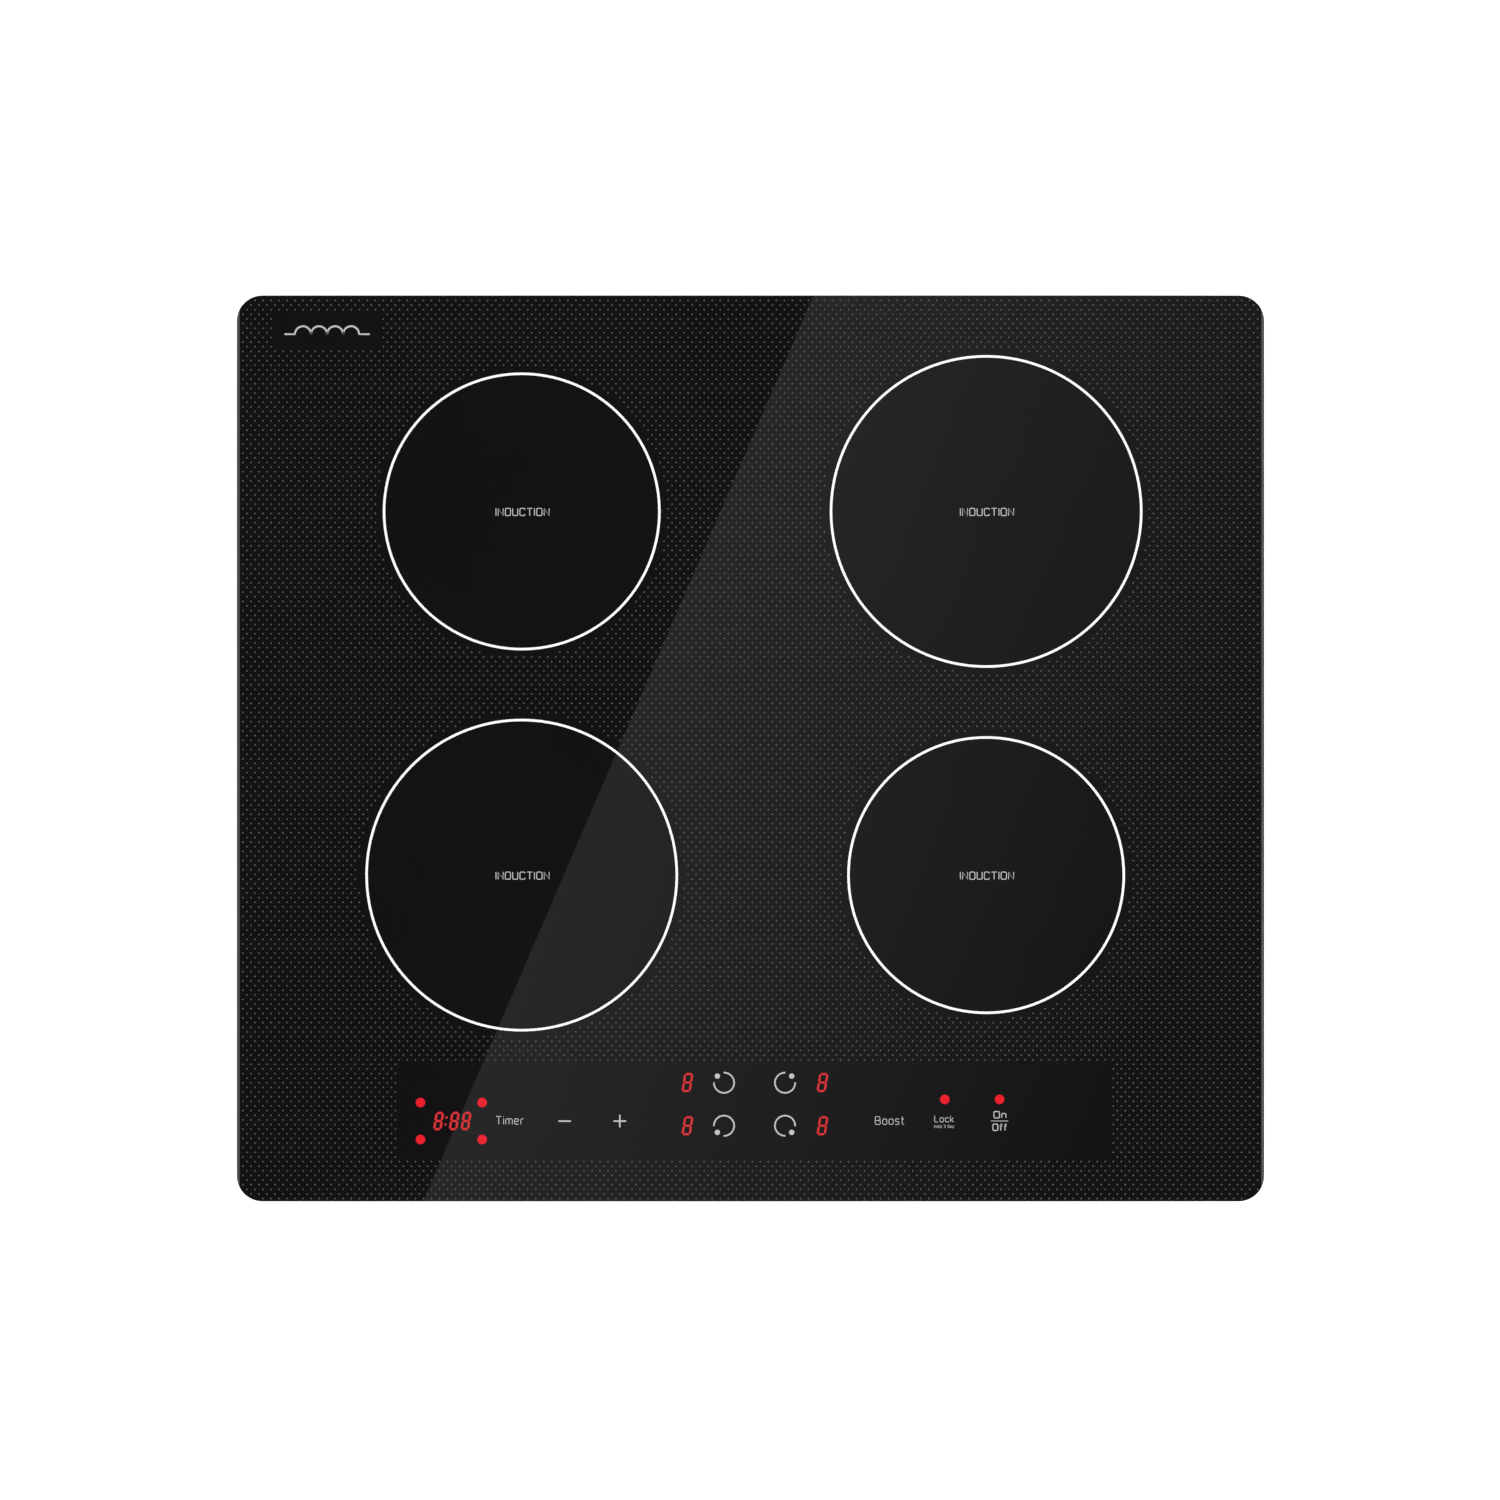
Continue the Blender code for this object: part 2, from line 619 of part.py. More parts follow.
def cut_clamp_holes(tray):
    bm = bmesh.new()
    for _, x, y, _ in clamp_places():
        add_rod(bm, CLAMP_HOLE_RADIUS, 4 * TRAY_SHEET, (x, y, PAD_HEIGHT + TRAY_SHEET / 2))
    boolean(tray, bm)


def cut_terminal_notch(tray):
    bm = bmesh.new()
    past = 5 * MM
    low = Vector((TERMINAL_X - TERMINAL_WIDTH / 2 - GAP, TERMINAL_FRONT - GAP, PAD_HEIGHT - past))
    high = Vector(
        (
            TERMINAL_X + TERMINAL_WIDTH / 2 + GAP,
            TERMINAL_REAR + past,
            PAD_HEIGHT + TERMINAL_HEIGHT + GAP,
        )
    )
    add_cuboid(bm, high - low, (low + high) / 2)
    boolean(tray, bm)


def bottom_tray():
    height = TRAY_TOP - PAD_HEIGHT
    tray = sheet_box(
        "bottom_tray", TRAY_WIDTH, TRAY_DEPTH, height, TRAY_CORNER, TRAY_SHEET, PAD_HEIGHT, GALVANISED
    )
    add_pads_and_bosses(tray)
    hollow_pads(tray)
    cut_vents(tray)
    cut_clamp_holes(tray)
    cut_terminal_notch(tray)


# Worktop clamps


def clamp_places():
    """(name, x, y, direction of the stowed arm along Y), one for each clamp."""
    for side, sign in SIDES.items():
        yield f"front_{side}", sign * CLAMP_X, FRONT_CLAMP_Y, 1
        yield f"rear_{side}", sign * CLAMP_X, REAR_CLAMP_Y, -1


def clamp(name, x, y, direction):
    """A flat strip with a round tip, which turns on its screw. It is stowed along the tray's side."""
    half = CLAMP_WIDTH / 2
    steps = CORNER_STEPS
    body = arc(half, math.pi, 2 * math.pi, steps) + arc(half, 0, math.pi, steps, (0, CLAMP_ARM))
    outlines = [
        body,
        circle(CLAMP_HOLE_RADIUS, HOLE_STEPS),
        circle(CLAMP_HOLE_RADIUS, HOLE_STEPS, (0, CLAMP_ARM)),
    ]
    if direction < 0:
        outlines = [[(px, -py) for px, py in outline] for outline in outlines]
    bottom = PAD_HEIGHT - GAP - CLAMP_SHEET
    plate(f"clamp_bracket_{name}", outlines, CLAMP_SHEET, bottom, ZINC, (x, y))
    head_top = bottom - GAP
    head_bottom = head_top - CLAMP_HEAD_HEIGHT
    shank_top = FLOOR + CLAMP_SCREW_END
    profile = [
        (0, shank_top),
        (CLAMP_SCREW_RADIUS, shank_top),
        (CLAMP_SCREW_RADIUS, head_top),
        (CLAMP_HEAD_RADIUS, head_top),
        (CLAMP_HEAD_RADIUS, head_bottom),
        (0, head_bottom),
    ]
    turned(f"clamp_screw_{name}", profile, (x, y, 0), ZINC, HOLE_STEPS)


# Terminal box


def terminal_box():
    middle = (TERMINAL_X, (TERMINAL_FRONT + TERMINAL_REAR) / 2)
    bm = bmesh.new()
    add_cuboid(bm, (TERMINAL_WIDTH, TERMINAL_DEPTH, TERMINAL_HEIGHT))
    bm.normal_update()
    under = next(face for face in bm.faces if face.normal.z < -0.9)
    bmesh.ops.delete(bm, geom=[under], context="FACES")
    centre = (*middle, PAD_HEIGHT + TERMINAL_HEIGHT / 2)
    box = add_object("terminal_box", mesh_from(bm, "terminal_box"), centre, PLASTIC)
    solidify = box.modifiers.new("wall", "SOLIDIFY")
    solidify.thickness = TERMINAL_WALL
    solidify.offset = -1
    solidify.use_even_offset = True
    hole = bmesh.new()
    facing_rear = Matrix.Rotation(math.pi / 2, 4, "X")
    add_rod(
        hole,
        INLET_HOLE_RADIUS,
        4 * TERMINAL_WALL,
        (TERMINAL_X, TERMINAL_REAR - TERMINAL_WALL / 2, INLET_Z),
        ROUND_STEPS,
        facing_rear,
    )
    boolean(box, hole)
    inside = 2 * (TERMINAL_WALL + GAP)
    lid = (TERMINAL_WIDTH - inside, TERMINAL_DEPTH - inside, TERMINAL_WALL)
    cuboid("terminal_lid", lid, (*middle, PAD_HEIGHT + TERMINAL_WALL / 2), PLASTIC)


def cable_grommet():
    """A grooved rubber ring in the rear wall of the terminal box. The heights run rearwards."""
    wall = TERMINAL_WALL / 2 + GAP
    end = wall + GROMMET_FLANGE
    groove = INLET_HOLE_RADIUS - GAP
    profile = [
        (INLET_BORE_RADIUS, end),
        (GROMMET_FLANGE_RADIUS - GROMMET_CHAMFER, end),
        (GROMMET_FLANGE_RADIUS, wall),
        (groove, wall),
        (groove, -wall),
        (GROMMET_FLANGE_RADIUS, -wall),
        (GROMMET_FLANGE_RADIUS - GROMMET_CHAMFER, -end),
        (INLET_BORE_RADIUS, -end),
    ]
    place = (TERMINAL_X, TERMINAL_REAR - TERMINAL_WALL / 2, INLET_Z)
    turned("cable_grommet", profile, place, RUBBER, axis="Y")


def terminal_block():
    """A row of wire poles between barriers, hung under the terminal box's roof."""
    wide = POLE_COUNT * POLE_PITCH + TERMINAL_BARRIER
    high = TERMINAL_BLOCK_HEIGHT
    outline = comb(wide, high, high / 2, POLE_COUNT + 1, TERMINAL_BARRIER)
    roof = PAD_HEIGHT + TERMINAL_HEIGHT - TERMINAL_WALL - GAP
    outline = [(x, -y) for x, y in outline]
    front = TERMINAL_FRONT + TERMINAL_WALL + TERMINAL_BLOCK_INSET
    centre = (TERMINAL_X, front + TERMINAL_BLOCK_DEPTH / 2, roof)
    extruded("terminal_block", [outline], TERMINAL_BLOCK_DEPTH, centre, PALE_PLASTIC, ALONG_Y)


# Spring rails and springs


def spring_rail(name, y):
    """A folded hat-shaped steel rail across the tray, with its feet on the floor."""
    half, top = RAIL_WIDTH / 2, RAIL_HEIGHT - RAIL_SHEET / 2
    low = RAIL_SHEET / 2
    path = [(-half - RAIL_FOOT, low), (-half, low), (-half, top)]
    path += [(-across, height) for across, height in reversed(path)]
    length = 2 * (INNER_X - RAIL_END_CLEARANCE)
    extruded(name, [strip(path, RAIL_SHEET)], length, (0, y, FLOOR + GAP), GALVANISED, ALONG_X)


def carrier_spring(name, x, y):
    """A helical compression spring between a rail and a carrier."""
    steps = 8
    low = SPRING_WIRE / 2 + GAP
    height = CARRIER_BOTTOM - RAIL_TOP - 2 * low
    curve = bpy.data.curves.new(name, "CURVE")
    curve.dimensions = "3D"
    curve.bevel_depth = SPRING_WIRE / 2
    curve.bevel_resolution = 1
    curve.use_fill_caps = True
    spline = curve.splines.new("POLY")
    count = SPRING_TURNS * steps
    spline.points.add(count)
    for i, point in enumerate(spline.points):
        turn = 2 * math.pi * i / steps
        rise = height * i / count
        point.co = (SPRING_RADIUS * math.cos(turn), SPRING_RADIUS * math.sin(turn), rise, 1)
    add_object(name, curve, (x, y, RAIL_TOP + low), ZINC)


# Coil modules


def winding_radius(diameter):
    return diameter / 2 - WINDING_INSET


def former_windows(radius):
    """Openings between the spokes of a coil former."""
    inner, outer = FORMER_HOLE_RADIUS + FORMER_RIM, radius - FORMER_RIM
    share = 2 * math.pi / FORMER_WINDOWS
    for i in range(FORMER_WINDOWS):
        start, end = (i + FORMER_SPOKE / 2) * share, (i + 1 - FORMER_SPOKE / 2) * share
        yield arc(outer, start, end, 3) + arc(inner, end, start, 1)


def coil_module(name, x, y, diameter):
    """The pieces over a carrier at one zone: former, winding, mica and temperature sensor."""
    winding = winding_radius(diameter)
    former = winding + FORMER_LIP
    sensor_hole = circle(FORMER_HOLE_RADIUS, HOLE_STEPS)
    former_outline = [circle(former), sensor_hole, *former_windows(former)]
    mica_outline = [circle(former), circle(SENSOR_RADIUS + SENSOR_CLEARANCE, HOLE_STEPS)]
    winding_outline = [circle(winding), circle(WINDING_INNER_RADIUS)]
    base = CARRIER_TOP + GAP
    seat = base + SENSOR_FLANGE
    top = GLASS_UNDERSIDE - GAP
    sensor = [
        (0, top),
        (SENSOR_RADIUS - SENSOR_CHAMFER, top),
        (SENSOR_RADIUS, top - SENSOR_CHAMFER),
        (SENSOR_RADIUS, seat),
        (SENSOR_FLANGE_RADIUS, seat),
        (SENSOR_FLANGE_RADIUS, base),
        (0, base),
    ]
    return [
        plate(f"coil_former_{name}", former_outline, FORMER_THICKNESS, FORMER_BOTTOM, PLASTIC, (x, y)),
        plate(
            f"coil_winding_{name}", winding_outline, WINDING_THICKNESS, WINDING_BOTTOM, COPPER, (x, y)
        ),
        plate(f"mica_disc_{name}", mica_outline, MICA_THICKNESS, MICA_BOTTOM, MICA, (x, y)),
        turned(f"temperature_sensor_{name}", sensor, (x, y, 0), SENSOR, HOLE_STEPS),
    ]


def coil_carrier(side):
    """The floating aluminium plate under the two coils of one side, with its springs."""
    low_x, high_x = CARRIER_SPAN[side]
    width, depth = high_x - low_x, CARRIER_REAR - CARRIER_FRONT
    middle = ((low_x + high_x) / 2, (CARRIER_FRONT + CARRIER_REAR) / 2)
    outlines = [rounded_rectangle(width, depth, CARRIER_CORNER, steps=3)]
    modules = [(name, zone) for name, zone in ZONES.items() if zone[3] == side]
    for _, (x, y, _, _) in modules:
        lead_hole = (x - middle[0], y - middle[1] + SENSOR_FLANGE_RADIUS + LEAD_HOLE_OFFSET)
        outlines.append(circle(LEAD_HOLE_RADIUS, HOLE_STEPS, lead_hole))
    empty = add_object(f"carrier_{side}", None, (*middle, CARRIER_BOTTOM))
    carrier = plate(
        f"coil_carrier_{side}", outlines, CARRIER_SHEET, CARRIER_BOTTOM, ALUMINIUM, middle
    )
    carried_by(empty, carrier)
    for name, (x, y, diameter, _) in modules:
        carried_by(empty, *coil_module(name, x, y, diameter))
    for x_name, x in (("a", low_x + SPRING_INSET), ("b", high_x - SPRING_INSET)):
        carrier_spring(f"carrier_spring_{side}_front_{x_name}", x, FRONT_RAIL_Y)
        carrier_spring(f"carrier_spring_{side}_rear_{x_name}", x, REAR_RAIL_Y)


# Power electronics and cooling


def power_unit(side, sign):
    x = sign * BOARD_X
    board = rounded_rectangle(BOARD_WIDTH, BOARD_DEPTH, BOARD_CORNER, steps=2)
    plate(f"power_board_{side}", [board], BOARD_THICKNESS, BOARD_BOTTOM, LAMINATE, (x, BOARD_Y))
    fins = comb(
        HEAT_SINK_WIDTH, HEAT_SINK_HEIGHT, HEAT_SINK_BASE, HEAT_SINK_FINS, HEAT_SINK_FIN
    )
    sink_y = BOARD_REAR - HEAT_SINK_INSET - HEAT_SINK_LENGTH / 2
    place = (x, sink_y, BOARD_TOP + GAP)
    extruded(f"heat_sink_{side}", [fins], HEAT_SINK_LENGTH, place, ALUMINIUM, ALONG_Y)
    high = CAPACITOR_SIZE[2]
    beside = (x + sign * CAPACITOR_OFFSET, BOARD_Y, BOARD_TOP + GAP + high / 2)
    cuboid(f"film_capacitor_{side}", CAPACITOR_SIZE, beside, CAPACITOR)


def fan_wall_path():
    """The middle of the blower's wall: a widening half turn round the fan, open to the front."""
    steps = 12
    path = [(FAN_SCROLL_START, -FAN_OUTLET)]
    for step in range(steps + 1):
        turn = math.pi * step / steps
        radius = FAN_SCROLL_START + FAN_SCROLL * step / steps
        path.append((radius * math.cos(turn), radius * math.sin(turn)))
    return path + [(-FAN_SCROLL_START - FAN_SCROLL, -FAN_OUTLET)]


def impeller_outline():
    """A hub with curved blades, each swept back from its root to its tip."""
    middle_radius = (FAN_HUB_RADIUS + FAN_RADIUS) / 2
    points = []
    for blade in range(FAN_BLADES):
        root = 2 * math.pi * blade / FAN_BLADES
        front = [
            (FAN_HUB_RADIUS, root),
            (middle_radius, root + 0.35 * FAN_SWEEP),
            (FAN_RADIUS, root + FAN_SWEEP),
        ]
        back = [(radius, turn + FAN_BLADE / radius) for radius, turn in reversed(front)]
        points += [(r * math.cos(turn), r * math.sin(turn)) for r, turn in front + back]
    return points


def blower(side, sign):
    """A flat radial blower over its inlet in the tray's floor, blowing forwards through the fins."""
    x = sign * BOARD_X
    wall = strip(fan_wall_path(), FAN_WALL)
    housing_height = FAN_HEIGHT - FAN_WALL - GAP
    plate(f"fan_housing_{side}", [wall], housing_height, FLOOR + GAP, PLASTIC, (x, FAN_Y))

    outside = wall[len(wall) // 2 :]  # the half of the wall's outline that runs outside
    cover_bottom = FAN_TOP - FAN_WALL
    cover = as_mesh(
        plate(f"fan_cover_{side}", [outside], FAN_WALL, cover_bottom, PLASTIC, (x, FAN_Y))
    )
    axle = bmesh.new()
    axle_length = FAN_HEIGHT - AXLE_END
    add_rod(axle, AXLE_RADIUS, axle_length, (x, FAN_Y, FAN_TOP - FAN_WALL / 2 - axle_length / 2))
    boolean(cover, axle, "UNION")

    outlines = [impeller_outline(), circle(AXLE_RADIUS + AXLE_CLEARANCE, HOLE_STEPS)]
    height, bottom = housing_height - 2 * ROTOR_CLEARANCE, FLOOR + ROTOR_CLEARANCE
    plate(f"fan_rotor_{side}", outlines, height, bottom, PLASTIC, (x, FAN_Y))


# Touch controls


def touch_panel():
    middle = (TOUCH_SIDE_SHIFT, TOUCH_Y)
    sheet_box(
        "touch_board_carrier",
        TOUCH_WIDTH,
        TOUCH_DEPTH,
        TOUCH_HEIGHT,
        0,
        TOUCH_WALL,
        TOUCH_BOTTOM,
        PLASTIC,
        middle,
    )
    inside = 2 * (TOUCH_WALL + TOUCH_CLEARANCE)
    width, depth = TOUCH_WIDTH - inside, TOUCH_DEPTH - inside
    board = rounded_rectangle(width, depth, TOUCH_BOARD_CORNER, steps=2)
    bottom = TOUCH_BOTTOM + TOUCH_WALL + GAP
    plate("touch_board", [board], BOARD_THICKNESS, bottom, LAMINATE, middle)


def control_ribbon():
    """Flat cable from under the touch controls, over the front rail and down to the left board."""
    over_rail = RAIL_TOP + RIBBON_OVER_RAIL
    bend, rise = RIBBON_BEND
    start_z = TOUCH_BOTTOM - GAP - RIBBON_THICKNESS / 2
    end_z = BOARD_TOP + GAP + RIBBON_THICKNESS / 2
    path = [
        (TOUCH_Y - RIBBON_ROOT / 2, start_z),
        (TOUCH_Y + RIBBON_ROOT / 2, start_z),
        (FRONT_RAIL_Y - RIBBON_TOP / 2, over_rail),
        (FRONT_RAIL_Y + RIBBON_TOP / 2, over_rail),
        (BOARD_FRONT + bend, end_z + rise),
        *((BOARD_FRONT + reach, end_z) for reach in RIBBON_LANDING),
    ]
    outline = strip(path, RIBBON_THICKNESS)
    extruded("control_ribbon", [outline], RIBBON_WIDTH, (-RIBBON_SIDE, 0, 0), PALE_PLASTIC, ALONG_X)


def main():
    glass_top()
    glass_bond()
    worktop_seal()
    mounting_frame()
    bottom_tray()
    for place in clamp_places():
        clamp(*place)
    terminal_box()
    cable_grommet()
    terminal_block()
    spring_rail("spring_rail_front", FRONT_RAIL_Y)
    spring_rail("spring_rail_rear", REAR_RAIL_Y)
    for side, sign in SIDES.items():
        coil_carrier(side)
        power_unit(side, sign)
        blower(side, sign)
    touch_panel()
    control_ribbon()


main()
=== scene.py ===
"""Looks of the built-in induction cooktop: glass, print, sheet metal, coils and electronics.

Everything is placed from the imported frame. +X is the cook's right hand and -Y is the front.
"""

import json
import math

import bmesh
import bpy
from mathutils import Matrix, Vector


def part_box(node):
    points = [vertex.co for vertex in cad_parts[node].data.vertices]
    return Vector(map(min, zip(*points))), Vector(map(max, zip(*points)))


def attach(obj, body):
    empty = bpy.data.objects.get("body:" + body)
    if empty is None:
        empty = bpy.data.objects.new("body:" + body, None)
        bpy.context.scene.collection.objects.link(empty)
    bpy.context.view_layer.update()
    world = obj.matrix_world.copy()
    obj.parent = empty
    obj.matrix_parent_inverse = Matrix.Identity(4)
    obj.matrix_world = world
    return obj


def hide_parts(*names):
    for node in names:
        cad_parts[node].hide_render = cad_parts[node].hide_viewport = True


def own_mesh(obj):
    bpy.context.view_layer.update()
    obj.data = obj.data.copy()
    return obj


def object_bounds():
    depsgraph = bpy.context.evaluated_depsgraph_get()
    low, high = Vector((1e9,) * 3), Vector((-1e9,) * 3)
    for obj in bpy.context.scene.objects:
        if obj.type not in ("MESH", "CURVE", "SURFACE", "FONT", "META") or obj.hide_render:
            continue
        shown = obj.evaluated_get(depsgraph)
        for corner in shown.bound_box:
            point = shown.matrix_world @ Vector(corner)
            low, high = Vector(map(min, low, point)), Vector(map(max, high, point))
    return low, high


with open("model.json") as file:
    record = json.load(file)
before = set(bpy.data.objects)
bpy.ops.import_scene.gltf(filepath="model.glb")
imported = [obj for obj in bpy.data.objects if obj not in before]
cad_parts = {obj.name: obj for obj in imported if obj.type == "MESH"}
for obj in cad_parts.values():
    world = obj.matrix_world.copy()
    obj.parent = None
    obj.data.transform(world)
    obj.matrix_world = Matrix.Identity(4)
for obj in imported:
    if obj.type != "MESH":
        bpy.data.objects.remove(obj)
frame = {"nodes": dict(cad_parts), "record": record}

cad_low, cad_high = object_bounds()

MM = 0.001
FULL_TURN = 2 * math.pi
HALF_TURN = math.pi
QUARTER_TURN = math.pi / 2
CENTRE = (cad_low + cad_high) / 2
WELD = 0.001 * MM  # corners closer than this are one

# Glass and the print on it. The print lies on the plate, and its top is the top of the object.
GLASS_LOW, GLASS_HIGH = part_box("glass_top")
GLASS_SIZE = GLASS_HIGH - GLASS_LOW
PRINT_TOP = GLASS_HIGH.z
PRINT_HEIGHT = 0.05 * MM
GLASS_TOP = PRINT_TOP - PRINT_HEIGHT
GLASS_CORNER = 15 * MM
GLASS_ARRIS = 0.3 * MM
FACET_WIDTH = 1.9 * MM
FACET_DROP = 1.2 * MM
FACET_MATCH = 0.999  # of a face with the facet's own slope
GLASS_FLAT = GLASS_HIGH.x - FACET_WIDTH  # from the middle to where a facet starts

ZONES = ("rear_left", "front_left", "rear_right", "front_right")
WINDING_INSET = 5 * MM  # from a zone's printed ring to its winding
RING_LINE = 1.35 * MM
RING_MARGIN = 4.4 * MM  # clear of dots round a ring

DOT_RADIUS = 0.45 * MM
DOT_PITCH = 4.603 * MM
DOT_ROW = 2.6567 * MM
DOT_SIDES = 8
DOT_EDGE = 1.3 * MM  # from the plate's edge to the outermost dots
MIDDLE_COLUMN = 1.03 * MM
TOP_ROW = 257.08 * MM

PANEL_LOW = Vector((-202.9, -235.6)) * MM  # the bare field of the touch controls
PANEL_HIGH = Vector((206.9, -179.9)) * MM
MARK_CENTRE = Vector((-243.0, 240.0)) * MM
MARK_FIELD = Vector((62, 21)) * MM

LETTER_LINE = 0.45 * MM
LETTER_SPACE = 0.27  # between letters, on their own grid
LETTER_ROUNDING = 0.17  # of a letter's height
SMOOTH_TO = math.radians(16)  # between faces that shade as one
SHARP_TURN = math.radians(100)  # a stroke's corner stays sharp past this
SYMBOL_LINE = 0.86 * MM
SELECTOR_RADIUS, SELECTOR_GAP = 5.8 * MM, math.radians(43)
LAMP_RADIUS = 2.7 * MM
DIGIT_LEAN = math.tan(math.radians(9))

# Sheet metal under the glass
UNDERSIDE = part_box("terminal_box")[0].z  # lower face of the tray's floor
SHEET = 0.8 * MM
FRAME_SHEET = 1.0 * MM
FLANGE = 8 * MM
BEND = 2.0 * MM  # outside radius of a fold
FRAME_BEND = 1.6 * MM
FRAME_CORNER = 10 * MM
TRAY_CORNER = 8.7 * MM
SEAL_CORNER = 12 * MM
SLOT_WIDTH = 3.5 * MM
SLOT_PITCH = 8 * MM
FAN_INLET = 30 * MM  # radius that the inlet slots fill
FOOT_INSET = 30 * MM
FOOT_RADIUS = 14 * MM
BOARD_SCREW_INSET = 10 * MM
FAN_SCREW_RADIUS = 42 * MM
NOTCH_MARGIN = 6 * MM  # no floor screw this near the terminal box
ROPE = 2.45 * MM  # width of the litz
ROPE_GAP = 0.05 * MM
WINDING_HOLE = 22 * MM
SPRING_WIRE, SPRING_TURNS = 1.0 * MM, 5.0
LEAD_PITCH = 1.27  # in millimetres, between a ribbon's cores and between a chip's legs

# Studio. Angles are in degrees, and a soft box is (azimuth from the front, elevation, watts).
CAMERA_LENS = 100.0
CAMERA_DISTANCE = 2.391  # above the glass
CAMERA_PLACE = (-0.3 * MM, -0.9 * MM)
LIGHT_DISTANCE = 2.6
LIGHT_SIZE = 1.6
SOFT_BOXES = {
    "right_soft_box": (78, 52, 37),
    "left_soft_box": (-95, 55, 16),
    "rear_soft_box": (180, 58, 16),
    "front_soft_box": (-20, 53, 12),
}
FLOOR_RADIUS = 30
FLOOR_GLOW = 0.5
HORIZON_LIGHT = 1.1
SKY_LIGHT = 0.3
ZENITH_LIGHT = 0.03
HORIZON_TOP, SKY_START = 0.14, 0.3  # heights of a unit sky, where it stops and starts to dim
CARD_START = 0.96  # height above which the sky holds the card
CARD_LIGHT = 0.323
CARD_EDGE = (Vector((-187.9, -260)) * MM, Vector((36.1, 260)) * MM)  # as it lies across the plate
CARD_FADE = 345 * MM

CLAMPS = ("front_left", "front_right", "rear_left", "rear_right")
ROUNDED = {  # nodes by the start of their names: (edge radius in millimetres, slot)
    "spring_rail_": (0.3, "galvanised_steel"),
    "fan_housing_": (0.4, "black_plastic"),
    "fan_cover_": (0.4, "black_plastic"),
    "fan_rotor_": (0.25, "black_plastic"),
    "heat_sink_": (0.2, "aluminium"),
    "film_capacitor_": (1.0, "capacitor_case"),
    "touch_board_carrier": (0.3, "black_plastic"),
}
PLAIN = {  # nodes shown as they are: their finish
    "glass_bond": "silicone_adhesive",
    "power_board_left": "circuit_board",
    "power_board_right": "circuit_board",
    "touch_board": "circuit_board",
    "control_ribbon": "ribbon_cable",
}
BODY_OF = {
    node: body
    for body, nodes in frame["record"]["behaviour"]["bodies"].items()
    for node in nodes
}


def mm(*values):
    """Millimetres in metres."""
    return tuple(value * MM for value in values)


def box(node):
    """A node's lowest corner, its highest corner and its middle."""
    low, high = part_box(node)
    return low, high, (low + high) / 2


# Colours and nodes

MATH = "ShaderNodeMath"
VECTOR_MATH = "ShaderNodeVectorMath"
RANGE = "ShaderNodeMapRange"
NOISE = "ShaderNodeTexNoise"
CELLS = "ShaderNodeTexVoronoi"


def colour(code, alpha=1.0):
    """An sRGB hex code as the linear colour that a socket takes."""
    channels = [int(code[i : i + 2], 16) / 255 for i in (1, 3, 5)]
    linear = [c / 12.92 if c <= 0.04045 else ((c + 0.055) / 1.055) ** 2.4 for c in channels]
    return (*linear, alpha)


def feed(tree, node, inputs):
    """Sets inputs, in order or by name: each to a value, to an output or to a node's first output."""
    for key, value in inputs.items() if isinstance(inputs, dict) else enumerate(inputs):
        if isinstance(value, bpy.types.Node):
            value = value.outputs[0]
        if isinstance(value, bpy.types.NodeSocket):
            tree.links.new(value, node.inputs[key])
        else:
            node.inputs[key].default_value = value


def add(tree, kind, inputs=(), **settings):
    """Adds a node with its settings and its inputs."""
    made = tree.nodes.new(kind)
    for name, value in settings.items():
        setattr(made, name, value)
    feed(tree, made, inputs)
    return made


def surface(name, base, roughness, metallic=0.0, ior=1.5):
    """A new material and its node tree."""
    material = bpy.data.materials.new(name)
    material.use_nodes = True
    tree = material.node_tree
    values = {"Base Color": colour(base), "Roughness": roughness, "Metallic": metallic, "IOR": ior}
    feed(tree, tree.nodes["Principled BSDF"], values)
    return material, tree


def on_object(tree, stretch=(1, 1, 1)):
    """Coordinates fixed to the object, stretched for a pattern."""
    where = add(tree, "ShaderNodeTexCoord").outputs["Object"]
    return add(tree, "ShaderNodeMapping", {0: where, "Scale": stretch})


def pattern(tree, kind, size, stretch=(1, 1, 1), inputs=None, **settings):
    """A texture fixed to the object, its features about size across before it is stretched."""
    given = {"Vector": on_object(tree, stretch), "Scale": 1 / size, **(inputs or {})}
    return add(tree, kind, given, **settings)


def dress(material, tint, colours, sheen=None, gloss=(), depth=0.0, strength=1.0, relief=None):
    """Lets tint choose between two colours and sheen set the roughness.

    Where there is a depth, the relief raises the skin by it, or the sheen does.
    """
    tree = material.node_tree
    made = {}
    if tint:
        first, second = colours
        ends = {0: tint, 6: colour(first), 7: colour(second)}
        made["Base Color"] = add(tree, "ShaderNodeMix", ends, data_type="RGBA").outputs[2]
    if sheen:
        made["Roughness"] = add(tree, RANGE, {0: sheen, 3: gloss[0], 4: gloss[1]})
    if depth:
        raised = {"Height": relief or sheen, "Distance": depth, "Strength": strength}
        made["Normal"] = add(tree, "ShaderNodeBump", raised)
    feed(tree, tree.nodes["Principled BSDF"], made)
    return material


def glow(material, code, strength):
    tree = material.node_tree
    lit = {"Emission Color": colour(code), "Emission Strength": strength}
    feed(tree, tree.nodes["Principled BSDF"], lit)


# Materials


def glass_ceramic():
    """Black glass-ceramic, rolled and polished: deep black with mirror-sharp reflections."""
    material, tree = surface("polished_black_glass_ceramic", "#100E0F", 0.004, ior=1.53)
    return dress(material, pattern(tree, NOISE, 90 * MM), ("#0E0D0E", "#121011"))


